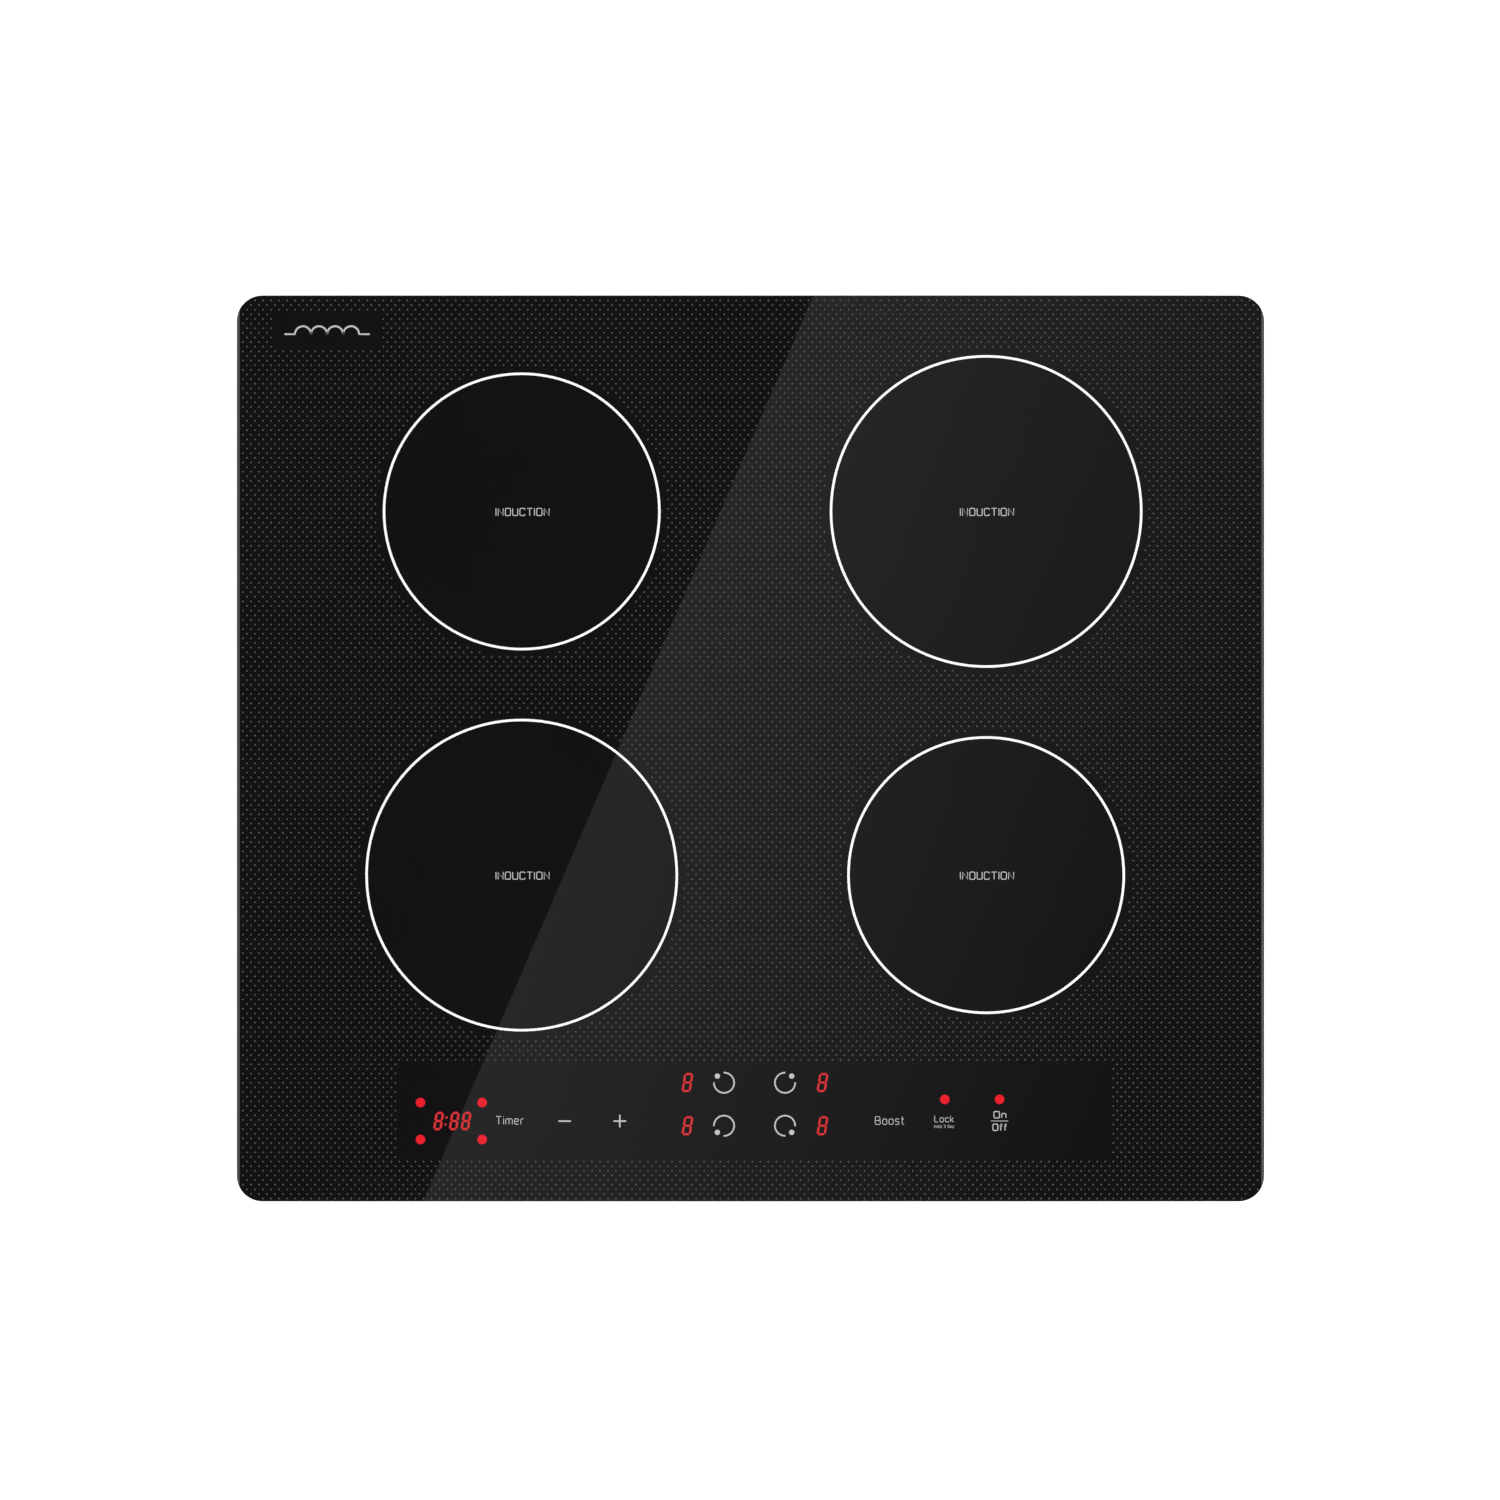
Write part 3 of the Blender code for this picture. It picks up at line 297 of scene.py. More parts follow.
def ground_glass():
    """The same glass where a wheel has ground its edge: greyer, and too rough to mirror anything."""
    material, tree = surface("ground_glass_edge", "#4A4A4B", 0.32, ior=1.53)
    streaks = pattern(tree, NOISE, 0.8 * MM, (4, 0.15, 4), {"Detail": 3})
    return dress(material, streaks, ("#303031", "#3A3A3C"), streaks, (0.26, 0.4), 0.01 * MM, 0.3)


def ceramic_ink(name, base, mottled):
    """Screen-printed ceramic ink, fired into the glass: chalky, with the mottle of its frit."""
    material, tree = surface(name, base, 0.5)
    mottle = pattern(tree, NOISE, 0.35 * MM, inputs={"Detail": 3})
    return dress(material, mottle, (base, mottled), mottle, (0.42, 0.6))


def lit_segment(name, base, strength):
    """A lit red segment behind clear resin: it glows evenly under a glossy skin."""
    material, tree = surface(name, "#240304", 0.08)
    glow(material, base, strength)
    return dress(material, None, None, pattern(tree, NOISE, 2 * MM), (0.05, 0.11))


def spangled_steel():
    """Hot-dip galvanised sheet: cool grey, each crystal of zinc a shade and a gloss of its own."""
    material, tree = surface("hot_dip_galvanised_steel", "#B2B6B8", 0.42, metallic=1.0)
    wander = pattern(tree, NOISE, 5 * MM).outputs["Color"]
    bend = (wander, mm(4, 4, 4), on_object(tree))
    bent = add(tree, VECTOR_MATH, bend, operation="MULTIPLY_ADD")
    crystals = add(tree, CELLS, {"Vector": bent, "Scale": 1 / (6.5 * MM)}).outputs["Color"]
    shade = add(tree, "ShaderNodeSeparateColor", [crystals])
    grain = pattern(tree, NOISE, 1.2 * MM, inputs={"Detail": 3})
    shades, gloss = ("#A5AAAD", "#BABFC1"), (0.36, 0.47)
    return dress(material, shade, shades, shade, gloss, 0.02 * MM, 0.35, grain)


def zinc_plate():
    """Bright zinc plate over pressed steel: bluish, glossier than galvanising, finely scuffed."""
    material, tree = surface("bright_zinc_plate", "#C3C8CE", 0.28, metallic=1.0)
    scuffs = pattern(tree, NOISE, 0.5 * MM, (1, 0.12, 1), {"Detail": 4})
    cloud = pattern(tree, NOISE, 14 * MM)
    return dress(material, cloud, ("#B7BEC6", "#CDD0D1"), scuffs, (0.2, 0.4), 0.01 * MM, 0.4)


def mill_aluminium():
    """Mill-finish aluminium, extruded or rolled along Y: soft silver with fine drawing lines."""
    material, tree = surface("mill_aluminium", "#C9CBCD", 0.34, metallic=1.0)
    lines = pattern(tree, NOISE, 0.45 * MM, (1, 0.02, 1), {"Detail": 3})
    cloud = pattern(tree, NOISE, 22 * MM)
    return dress(material, cloud, ("#BFC2C5", "#D2D3D4"), lines, (0.26, 0.44), 0.015 * MM, 0.5)


def moulded_plastic(name, base, lighter, roughness):
    """A moulding with a spark-eroded skin: an even fine grain, drawn a little coarse so it shows."""
    material, tree = surface(name, base, roughness, ior=1.53)
    cloud, grain = pattern(tree, NOISE, 18 * MM), pattern(tree, NOISE, 0.5 * MM)
    gloss = (roughness - 0.07, roughness + 0.09)
    return dress(material, cloud, (base, lighter), grain, gloss, 0.04 * MM, 0.6)


def rubber(name, base, bloom, roughness, cell):
    """Rubber or foam: dull, with a faint grey bloom and a skin of small cells."""
    material, tree = surface(name, base, roughness, ior=1.52)
    cloud, cells = pattern(tree, NOISE, 9 * MM, inputs={"Detail": 4}), pattern(tree, CELLS, cell)
    gloss = (roughness + 0.06, roughness - 0.06)
    return dress(material, cloud, (base, bloom), cells, gloss, cell / 6, 0.7)


def litz_copper():
    """Enamelled litz rope: warm copper strands that wind round the rope on their way along it, with
    painted shade in the grooves between them.
    """
    material, tree = surface("enamelled_litz_copper", "#B4632F", 0.34, metallic=1.0)
    along, around = (
        add(tree, "ShaderNodeAttribute", attribute_name=name).outputs["Fac"]
        for name in ("along", "around")
    )
    strands, lay = 9, 22 * MM  # the strands go round the rope once in each lay
    turns = add(tree, MATH, (along, lay), operation="DIVIDE")
    turns = add(tree, MATH, (turns, around), operation="ADD")
    angle = add(tree, MATH, (turns, strands * FULL_TURN), operation="MULTIPLY")
    height = add(tree, RANGE, (add(tree, MATH, [angle], operation="SINE"), -1.0, 1.0))
    # colour follows the strands' height: darker in the grooves between strands, which is painted shade
    return dress(material, height, ("#5E2A12", "#CB7440"), height, (0.5, 0.28), 0.12 * MM, 0.8)


def mica_sheet():
    """Pressed phlogopite mica: pale gold flakes that catch the light one by one."""
    material, tree = surface("pressed_mica_sheet", "#B7A37C", 0.35, ior=1.58)
    flakes = pattern(tree, CELLS, 3.5 * MM).outputs["Color"]
    shade = add(tree, "ShaderNodeSeparateColor", [flakes]).outputs[1]
    return dress(material, shade, ("#A08C66", "#CCBB97"), shade, (0.22, 0.5), 0.03 * MM, 0.5)


def solder_mask():
    """Green solder resist over copper tracks: the tracks show as a lighter, raised green."""
    material, tree = surface("green_solder_mask", "#0E4527", 0.26, ior=1.52)
    cells = pattern(tree, CELLS, 6 * MM, distance="CHEBYCHEV")
    rings = add(tree, MATH, [add(tree, MATH, (cells, 5.0), operation="MULTIPLY")], operation="FRACT")
    tracks = add(tree, RANGE, (rings, 0.42, 0.5))
    return dress(material, tracks, ("#0C3D22", "#1B6B3D"), tracks, (0.32, 0.22), 0.035 * MM, 0.5)


def sintered_ferrite():
    """Sintered ferrite: charcoal grey ceramic with a dry sheen and pale specks."""
    material, tree = surface("sintered_ferrite", "#36363A", 0.48, ior=1.9)
    specks = pattern(tree, NOISE, 0.6 * MM, inputs={"Detail": 5, "Roughness": 0.8})
    return dress(material, specks, ("#2A2A2D", "#4A4A50"), specks, (0.38, 0.6), 0.03 * MM, 0.5)


def flat_cable():
    """Grey ribbon cable: round cores under thin vinyl, one core every 1.27 mm, with painted shade in the
    grooves between cores.
    """
    material, tree = surface("grey_ribbon_cable", "#A9A9A6", 0.42)
    across = add(tree, "ShaderNodeSeparateXYZ", [on_object(tree)])
    angle = add(tree, MATH, (across, FULL_TURN / (LEAD_PITCH * MM)), operation="MULTIPLY")
    height = add(tree, RANGE, (add(tree, MATH, [angle], operation="SINE"), -1.0, 1.0))
    # colour follows the cores' height: darker in the grooves between cores, which is painted shade
    return dress(material, height, ("#8C8C89", "#B5B5B1"), height, (0.5, 0.38), 0.2 * MM, 0.8)


RING_INK = ceramic_ink("white_ceramic_ink", "#FAFAF8", "#EDEDEA")
WORD_INK = ceramic_ink("grey_ceramic_ink", "#BDBDBD", "#B1B1B1")
PANEL_INK = ceramic_ink("light_grey_ceramic_ink", "#B8B8B8", "#ADADAD")
DOT_INK = ceramic_ink("dark_grey_ceramic_ink", "#4A4A4B", "#424243")
LAMP = lit_segment("lit_red_lamp", "#E81A29", 1.0)
SEGMENT = lit_segment("lit_red_segment", "#DA3338", 0.95)
EDGE = ground_glass()
FINISH = {
    "black_glass_ceramic": glass_ceramic(),
    "silicone_adhesive": rubber("black_silicone_bead", "#0B0B0C", "#131314", 0.36, 2 * MM),
    "foam_seal": rubber("black_foam_strip", "#1B1B1C", "#2B2B2C", 0.88, 0.7 * MM),
    "galvanised_steel": spangled_steel(),
    "zinc_plated_steel": zinc_plate(),
    "black_plastic": moulded_plastic("spark_textured_black_nylon", "#17181A", "#202124", 0.5),
    "white_plastic": moulded_plastic("satin_white_nylon", "#DAD8D0", "#E4E2DB", 0.42),
    "black_rubber": rubber("black_moulded_rubber", "#131313", "#202020", 0.66, 1.0 * MM),
    "aluminium": mill_aluminium(),
    "copper_winding": litz_copper(),
    "mica_sheet": mica_sheet(),
    "silicone_sensor": rubber("white_moulded_silicone", "#D9D7D0", "#E6E4DE", 0.5, 1.5 * MM),
    "circuit_board": solder_mask(),
    "capacitor_case": moulded_plastic("glossy_grey_film_case", "#5A5D63", "#666A70", 0.3),
    "ferrite": sintered_ferrite(),
    "ribbon_cable": flat_cable(),
}


# Meshes


def link(name, data):
    obj = bpy.data.objects.new(name, data)
    bpy.context.scene.collection.objects.link(obj)
    return obj


def add_mesh(name, bm, materials=()):
    mesh = bpy.data.meshes.new(name)
    bm.to_mesh(mesh)
    bm.free()
    for material in materials:
        mesh.materials.append(material)
    return link(name, mesh)


def finished(obj):
    """Applies everything live on the object and leaves it a plain mesh at the origin."""
    graph = bpy.context.evaluated_depsgraph_get()
    mesh = bpy.data.meshes.new_from_object(obj.evaluated_get(graph))
    mesh.transform(obj.matrix_world)
    name = obj.name
    bpy.data.objects.remove(obj)
    mesh.name = name
    return link(name, mesh)


def piece(obj, body, slot, *nodes):
    """Hands a finished mesh to the frame: its body, and the nodes it stands for, which it hides. Its slot
    is not used.
    """
    obj.data.shade_smooth()
    obj.data.set_sharp_from_angle(angle=SMOOTH_TO)
    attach(obj, body)
    if nodes:
        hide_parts(*nodes)
    return obj


def new_piece(name, bm, slot, *nodes, body="casing", material=None):
    """A mesh as a piece, in its slot's finish unless it is given another."""
    return piece(add_mesh(name, bm, [material or FINISH[slot]]), body, slot, *nodes)


def arc(radius, start, end, steps, centre=(0, 0)):
    turns = (start + (end - start) * step / steps for step in range(steps + 1))
    return [(centre[0] + radius * math.cos(a), centre[1] + radius * math.sin(a)) for a in turns]


def circle(radius, steps, centre=(0, 0)):
    return arc(radius, 0, FULL_TURN, steps, centre)[:-1]


def rounded_rectangle(width, depth, corner, steps):
    points = []
    for quarter, (side_x, side_y) in enumerate(((1, 1), (-1, 1), (-1, -1), (1, -1))):
        middle = (side_x * (width / 2 - corner), side_y * (depth / 2 - corner))
        start = quarter * QUARTER_TURN
        points += arc(corner, start, start + QUARTER_TURN, steps, middle)
    return points


def walls(bm, loops, closed=False):
    """Joins outlines of equal length, anticlockwise from above and each outside or above the last.

    The last is joined to the first where closed, and both ends are capped where not.
    """
    rows = [[bm.verts.new(point) for point in loop] for loop in loops]
    for low, high in zip(rows, rows[1:] + rows[:1] if closed else rows[1:]):
        for i, start in enumerate(low):
            j = (i + 1) % len(low)
            bm.faces.new((start, low[j], high[j], high[i]))
    if not closed:
        bm.faces.new(rows[0][::-1])
        bm.faces.new(rows[-1])


def slab(bm, outline, low, high):
    """A flat outline made solid between two heights."""
    pairs = zip(outline, outline[1:] + outline[:1])
    if sum(a[0] * b[1] - b[0] * a[1] for a, b in pairs) < 0:
        outline = outline[::-1]
    walls(bm, [[(x, y, z) for x, y in outline] for z in (low, high)])


def stadium(length, width, steps=5):
    """An outline with two straight sides along Y and round ends."""
    half, reach = width / 2, (length - width) / 2
    ends = arc(half, 0, HALF_TURN, steps, (0, reach))
    return ends + arc(half, HALF_TURN, FULL_TURN, steps, (0, -reach))


def lathe(profile, steps, closed=False, place=(0, 0)):
    """A (radius, height) profile turned about Z. It runs from the bottom outwards and up.

    It is flat at both ends, which it caps, unless it is closed, as a ring's is.
    """
    bm = bmesh.new()
    walls(bm, [[(x, y, z) for x, y in circle(radius, steps)] for radius, z in profile], closed)
    bmesh.ops.translate(bm, vec=(*place, 0), verts=bm.verts)
    return bm


def block(bm, size, middle=(0, 0, 0), round_by=0.0):
    """A block with its edges rounded."""
    verts = bmesh.ops.create_cube(bm, size=1)["verts"]
    bmesh.ops.scale(bm, vec=size, verts=verts)
    bmesh.ops.translate(bm, vec=middle, verts=verts)
    if round_by:
        edges = list({edge for vert in verts for edge in vert.link_edges})
        rounds = {"offset": round_by, "segments": 2, "profile": 0.5, "affect": "EDGES"}
        bmesh.ops.bevel(bm, geom=edges, **rounds)


def cross(reach, width, depth, turn=0.0):
    """A cutter for a cross recess, astride Z = 0."""
    a, b = reach / 2, width / 2
    outline = []
    for step in range(4):
        c, s = math.cos(turn + step * QUARTER_TURN), math.sin(turn + step * QUARTER_TURN)
        outline += [(x * c - y * s, x * s + y * c) for x, y in ((a, -b), (a, b), (b, b))]
    bm = bmesh.new()
    slab(bm, outline, -depth, depth)
    return bm


def cut(obj, cutters):
    """Takes one mesh's solids out of an object."""
    cutter = add_mesh("cutter", cutters)
    obj.modifiers.new("cut", "BOOLEAN").object = cutter
    made = finished(obj)
    bpy.data.objects.remove(cutter)
    return made


def rounded(obj, width, angle=40):
    """A finished object with the edges rounded that turn by more than an angle in degrees."""
    bevel = obj.modifiers.new("rounding", "BEVEL")
    bevel.width = width
    bevel.segments = 2
    bevel.limit_method = "ANGLE"
    bevel.angle_limit = math.radians(angle)
    return finished(obj)


def softened(node, width, slot):
    """A copy of a CAD piece with its coplanar triangles joined and its edges rounded."""
    bm = bmesh.new()
    bm.from_mesh(frame["nodes"][node].data)
    bmesh.ops.remove_doubles(bm, verts=bm.verts, dist=WELD)
    bmesh.ops.dissolve_limit(bm, angle_limit=math.radians(1), verts=bm.verts, edges=bm.edges)
    copy = rounded(add_mesh(node + "_rounded", bm, [FINISH[slot]]), width)
    return piece(copy, BODY_OF[node], slot, node)


# Geometry Nodes


def node_group(name, inputs):
    """A geometry tree with named inputs: {name: (socket type, default)}. It returns the tree's ends."""
    tree = bpy.data.node_groups.new(name, "GeometryNodeTree")
    sockets = tree.interface
    sockets.new_socket("Geometry", in_out="INPUT", socket_type="NodeSocketGeometry")
    sockets.new_socket("Geometry", in_out="OUTPUT", socket_type="NodeSocketGeometry")
    for label, (kind, default) in inputs.items():
        made = sockets.new_socket(label, in_out="INPUT", socket_type="NodeSocket" + kind)
        if default is not None:
            made.default_value = default
    return tree, tree.nodes.new("NodeGroupInput").outputs


def end_group(tree, geometry, material):
    """Ends a tree in plain geometry with its material."""
    plain = add(tree, "GeometryNodeRealizeInstances", [geometry])
    painted = add(tree, "GeometryNodeSetMaterial", {"Geometry": plain, "Material": material})
    add(tree, "NodeGroupOutput", [painted])
    return tree


def grown(obj, tree, **values):
    """Runs a geometry tree on an object, with its inputs set, and returns the plain mesh."""
    modifier = obj.modifiers.new(tree.name, "NODES")
    modifier.node_group = tree
    for item in tree.interface.items_tree:
        key = item.name.lower().replace(" ", "_")
        if item.in_out == "INPUT" and key in values:
            modifier[item.identifier] = values[key]
    made = finished(obj)
    kept = [material for material in made.data.materials if material]
    made.data.materials.clear()
    made.data.materials.append(kept[0])
    made.data.polygons.foreach_set("material_index", [0] * len(made.data.polygons))
    return made


def dot_rows_tree():
    """Every other row of the dot print, left out over the zones and the bare fields."""
    inputs = {
        "Width": ("Float", 0.5),
        "Depth": ("Float", 0.5),
        "Columns": ("Int", 10),
        "Rows": ("Int", 10),
        "Shift": ("Vector", (0, 0, 0)),
        "Dot Radius": ("Float", DOT_RADIUS),
        "Dot Height": ("Float", PRINT_HEIGHT),
        "Ink": ("Material", None),
    }
    tree, given = node_group("dot_rows", inputs)
    sizes = [given[name] for name in ("Width", "Depth", "Columns", "Rows")]
    grid = add(tree, "GeometryNodeMeshGrid", sizes)
    moved = add(tree, "GeometryNodeTransform", {0: grid, "Translation": given["Shift"]})
    where = add(tree, "GeometryNodeInputPosition")
    axes = add(tree, "ShaderNodeSeparateXYZ", [where]).outputs
    tests = []
    for x, y, radius in zone_places():
        away = add(tree, VECTOR_MATH, (where, (x, y, GLASS_TOP)), operation="DISTANCE")
        inside = (away.outputs["Value"], radius + RING_MARGIN)
        tests.append(add(tree, MATH, inside, operation="LESS_THAN"))
    panel = ((PANEL_LOW + PANEL_HIGH) / 2, PANEL_HIGH - PANEL_LOW)
    for middle, size in (panel, (MARK_CENTRE, MARK_FIELD)):
        spans = [(axes[axis], middle[axis], size[axis] / 2) for axis in (0, 1)]
        inside = [add(tree, MATH, span, operation="COMPARE") for span in spans]
        tests.append(add(tree, MATH, inside, operation="MULTIPLY"))
    # Round the plate's corners the dots stop on an arc of the same centre
    past = []
    for axis, ground in ((0, FACET_WIDTH), (1, 0.0)):
        away = add(tree, MATH, [axes[axis]], operation="ABSOLUTE")
        edge = GLASS_SIZE[axis] / 2 - max(ground + DOT_RADIUS, DOT_EDGE)
        tests.append(add(tree, MATH, (away, edge), operation="GREATER_THAN"))
        straight = GLASS_SIZE[axis] / 2 - GLASS_CORNER
        off = add(tree, MATH, (away, straight), operation="SUBTRACT")
        past.append(add(tree, MATH, (off, 0.0), operation="MAXIMUM"))
    corner = add(tree, "ShaderNodeCombineXYZ", past)
    reach = add(tree, VECTOR_MATH, [corner], operation="LENGTH").outputs["Value"]
    bare = add(tree, MATH, (reach, GLASS_CORNER - DOT_EDGE), operation="GREATER_THAN")
    for test in tests:
        bare = add(tree, MATH, (bare, test), operation="MAXIMUM")
    kept = add(tree, "GeometryNodeDeleteGeometry", (moved, bare), domain="POINT")
    cone = {
        "Vertices": DOT_SIDES,
        "Radius Top": 0.0,
        "Radius Bottom": given["Dot Radius"],
        "Depth": given["Dot Height"],
    }
    dot = add(tree, "GeometryNodeMeshCone", cone)
    dots = add(tree, "GeometryNodeInstanceOnPoints", {"Points": kept, "Instance": dot})
    return end_group(tree, dots, given["Ink"])


def ink_line_tree():
    """A flat printed line along a drawn path, with its corners rounded."""
    inputs = {
        "Line": ("Float", LETTER_LINE),
        "Height": ("Float", PRINT_HEIGHT),
        "Rounding": ("Float", 0.0),
        "Ink": ("Material", None),
    }
    tree, given = node_group("ink_line", inputs)
    upright = add(tree, "GeometryNodeSetCurveNormal", [given["Geometry"]], mode="Z_UP")
    share = add(tree, "GeometryNodeInputRadius")
    radius = add(tree, MATH, (share, given["Rounding"]), operation="MULTIPLY")
    fillet = {"Curve": upright, "Count": 4, "Radius": radius, "Limit Radius": True}
    filleted = add(tree, "GeometryNodeFilletCurve", fillet, mode="POLY")
    even = add(tree, "GeometryNodeSetCurveRadius", {"Curve": filleted, "Radius": 1.0})
    section = (given["Line"], given["Height"])
    profile = add(tree, "GeometryNodeCurvePrimitiveQuadrilateral", section)
    sweep = {"Curve": even, "Profile Curve": profile, "Fill Caps": True}
    return end_group(tree, add(tree, "GeometryNodeCurveToMesh", sweep), given["Ink"])


def set_out_tree():
    """Sets one part out on points, each turned about Z by the point's own spin."""
    inputs = {
        "Part": ("Object", None),
        "Turn": ("Rotation", (0, 0, 0)),
        "Size": ("Float", 1.0),
        "Finish": ("Material", None),
    }
    tree, given = node_group("set_out", inputs)
    part = add(tree, "GeometryNodeObjectInfo", [given["Part"]]).outputs["Geometry"]
    turned = add(tree, "GeometryNodeTransform", {0: part, "Rotation": given["Turn"]})
    spin = add(tree, "GeometryNodeInputNamedAttribute", ["spin"], data_type="FLOAT")
    about = add(tree, "FunctionNodeEulerToRotation", [add(tree, "ShaderNodeCombineXYZ", {2: spin})])
    places = {"Points": given["Geometry"], "Instance": turned, "Rotation": about, "Scale": given["Size"]}
    return end_group(tree, add(tree, "GeometryNodeInstanceOnPoints", places), given["Finish"])


def wound_wire_tree():
    """Wire wound flat in a spiral, or up in a helix where the radius stays the same."""
    inputs = {
        "Inner Radius": ("Float", 0.02),
        "Outer Radius": ("Float", 0.08),
        "Turns": ("Float", 10.0),
        "Rise": ("Float", 0.0),
        "Steps": ("Int", 32),
        "Wire Width": ("Float", 0.001),
        "Wire Height": ("Float", 0.001),
        "Wire Sides": ("Int", 8),
        "Shift": ("Vector", (0, 0, 0)),
        "Finish": ("Material", None),
    }
    tree, given = node_group("wound_wire", inputs)
    path = {
        "Resolution": given["Steps"],
        "Rotations": given["Turns"],
        "Start Radius": given["Inner Radius"],
        "End Radius": given["Outer Radius"],
        "Height": given["Rise"],
    }
    spiral = add(tree, "GeometryNodeCurveSpiral", path)
    placed = add(tree, "GeometryNodeTransform", {0: spiral, "Translation": given["Shift"]})
    upright = add(tree, "GeometryNodeSetCurveNormal", [placed], mode="Z_UP")
    progress = add(tree, "GeometryNodeSplineParameter").outputs
    along = {0: upright, "Name": "along", "Value": progress["Length"]}
    rail = add(tree, "GeometryNodeStoreNamedAttribute", along, domain="POINT")
    ring = add(tree, "GeometryNodeCurvePrimitiveCircle", {0: given["Wire Sides"], "Radius": 0.5})
    around = {0: ring, "Name": "around", "Value": progress["Factor"]}
    ring = add(tree, "GeometryNodeStoreNamedAttribute", around, domain="POINT")
    stretch = add(tree, "ShaderNodeCombineXYZ", (given["Wire Width"], given["Wire Height"], 1.0))
    section = add(tree, "GeometryNodeTransform", {0: ring, "Scale": stretch})
    sweep = {"Curve": rail, "Profile Curve": section, "Fill Caps": True}
    return end_group(tree, add(tree, "GeometryNodeCurveToMesh", sweep), given["Finish"])


INK_LINE = ink_line_tree()
SET_OUT = set_out_tree()
WOUND_WIRE = wound_wire_tree()


def set_out(name, part, places, slot, body="casing", turn=(0, 0, 0), size=1.0, keep_part=False):
    """Sets a part out at (x, y, z, spin) places as one piece, and throws the part away."""
    if isinstance(part, bmesh.types.BMesh):
        part = add_mesh("part", part)
    mesh = bpy.data.meshes.new(name)
    mesh.from_pydata([place[:3] for place in places], [], [])
    mesh.attributes.new("spin", "FLOAT", "POINT").data.foreach_set("value", [p[3] for p in places])
    made = grown(link(name, mesh), SET_OUT, part=part, turn=turn, size=size, finish=FINISH[slot])
    if not keep_part:
        bpy.data.objects.remove(part)
    return piece(made, body, slot)


def wound(name, radii, turns, rise, steps, wire, sides, shift, slot):
    """Wire wound from one radius to another. Wire is its width and height."""
    return grown(
        add_mesh(name, bmesh.new()),
        WOUND_WIRE,
        inner_radius=radii[0],
        outer_radius=radii[1],
        turns=turns,
        rise=rise,
        steps=steps,
        wire_width=wire[0],
        wire_height=wire[1],
        wire_sides=sides,
        shift=shift,
        finish=FINISH[slot],
    )


def drawn(name, paths):
    """A curve of straight stretches: (points, closed) for each path, at the middle of the print.

    A point's radius is 1 where its corner may be rounded, and 0 where it is too sharp for that.
    """
    curve = bpy.data.curves.new(name, "CURVE")
    curve.dimensions = "3D"
    for points, closed in paths:
        spline = curve.splines.new("POLY")
        spline.points.add(len(points) - 1)
        for point, (x, y) in zip(spline.points, points):
            point.co = (x, y, GLASS_TOP + PRINT_HEIGHT / 2, 1)
            point.radius = 1.0
        steps = [Vector(end) - Vector(start) for start, end in zip(points, points[1:])]
        for point, before, after in zip(spline.points[1:], steps, steps[1:]):
            if before.angle(after, 0.0) > SHARP_TURN:
                point.radius = 0.0
        spline.use_cyclic_u = closed
    return link(name, curve)


def printed(name, paths, line, ink, rounding=0.0):
    """Printed lines along drawn paths, as one piece."""
    lines = grown(drawn(name, paths), INK_LINE, line=line, rounding=rounding, ink=ink)
    return piece(lines, "casing", "ceramic_print")


# Glass plate


def ground_height(x):
    """The top of the plate, this far from its middle: it is ground down along both sides."""
    past = max(abs(x) - GLASS_FLAT, 0.0)
    return GLASS_TOP - past * FACET_DROP / FACET_WIDTH


def glass_plate():
    """The plate with its ground facets and a fine arris all round."""
    steps, inset = 40, 2 * GLASS_ARRIS
    width, depth, corner = GLASS_SIZE.x - inset, GLASS_SIZE.y - inset, GLASS_CORNER - GLASS_ARRIS
    outside = rounded_rectangle(GLASS_SIZE.x, GLASS_SIZE.y, GLASS_CORNER, steps)
    inside = rounded_rectangle(width, depth, corner, steps)
    loops = [
        [(x, y, GLASS_LOW.z) for x, y in inside],
        [(x, y, GLASS_LOW.z + GLASS_ARRIS) for x, y in outside],
        [(x, y, ground_height(x) - GLASS_ARRIS) for x, y in outside],
        [(x, y, ground_height(x)) for x, y in inside],
        [(max(-GLASS_FLAT, min(x, GLASS_FLAT)), y, GLASS_TOP) for x, y in inside],
    ]
    bm = bmesh.new()
    walls(bm, loops)
    bmesh.ops.remove_doubles(bm, verts=bm.verts, dist=WELD)
    plate = new_piece("glass_plate", bm, "black_glass_ceramic", "glass_top")
    plate.data.materials.append(EDGE)
    slope = math.atan2(FACET_DROP, FACET_WIDTH)
    facet_normal = Vector((math.sin(slope), 0, math.cos(slope)))
    for face in plate.data.polygons:
        tilted = Vector((abs(face.normal.x), face.normal.y, face.normal.z))
        face.material_index = 1 if tilted.dot(facet_normal) > FACET_MATCH else 0
        face.use_smooth = abs(face.normal.z) < 0.1  # only the edge shades as round


# Print on the glass


def zone_places():
    """(x, y, radius of the ring) of each cooking zone."""
    for zone in ZONES:
        low, high, middle = box("coil_winding_" + zone)
        yield middle.x, middle.y, (high.x - low.x) / 2 + WINDING_INSET


def dot_print():
    """Staggered rows of dots, as two pieces: every other row has its columns half a pitch over."""
    tree = dot_rows_tree()
    columns = 2 * int(GLASS_SIZE.x / 2 // DOT_PITCH) + 3
    rows = int(GLASS_SIZE.y // (2 * DOT_ROW)) + 1
    depth = (rows - 1) * 2 * DOT_ROW
    sizes = {"width": (columns - 1) * DOT_PITCH, "depth": depth, "columns": columns, "rows": rows}
    for half, name in enumerate(("dot_print_even_rows", "dot_print_odd_rows")):
        x = MIDDLE_COLUMN + half * DOT_PITCH / 2
        y = TOP_ROW - half * DOT_ROW - depth / 2
        points = add_mesh(name, bmesh.new())
        dots = grown(points, tree, shift=(x, y, GLASS_TOP), ink=DOT_INK, **sizes)
        piece(dots, "casing", "ceramic_print")


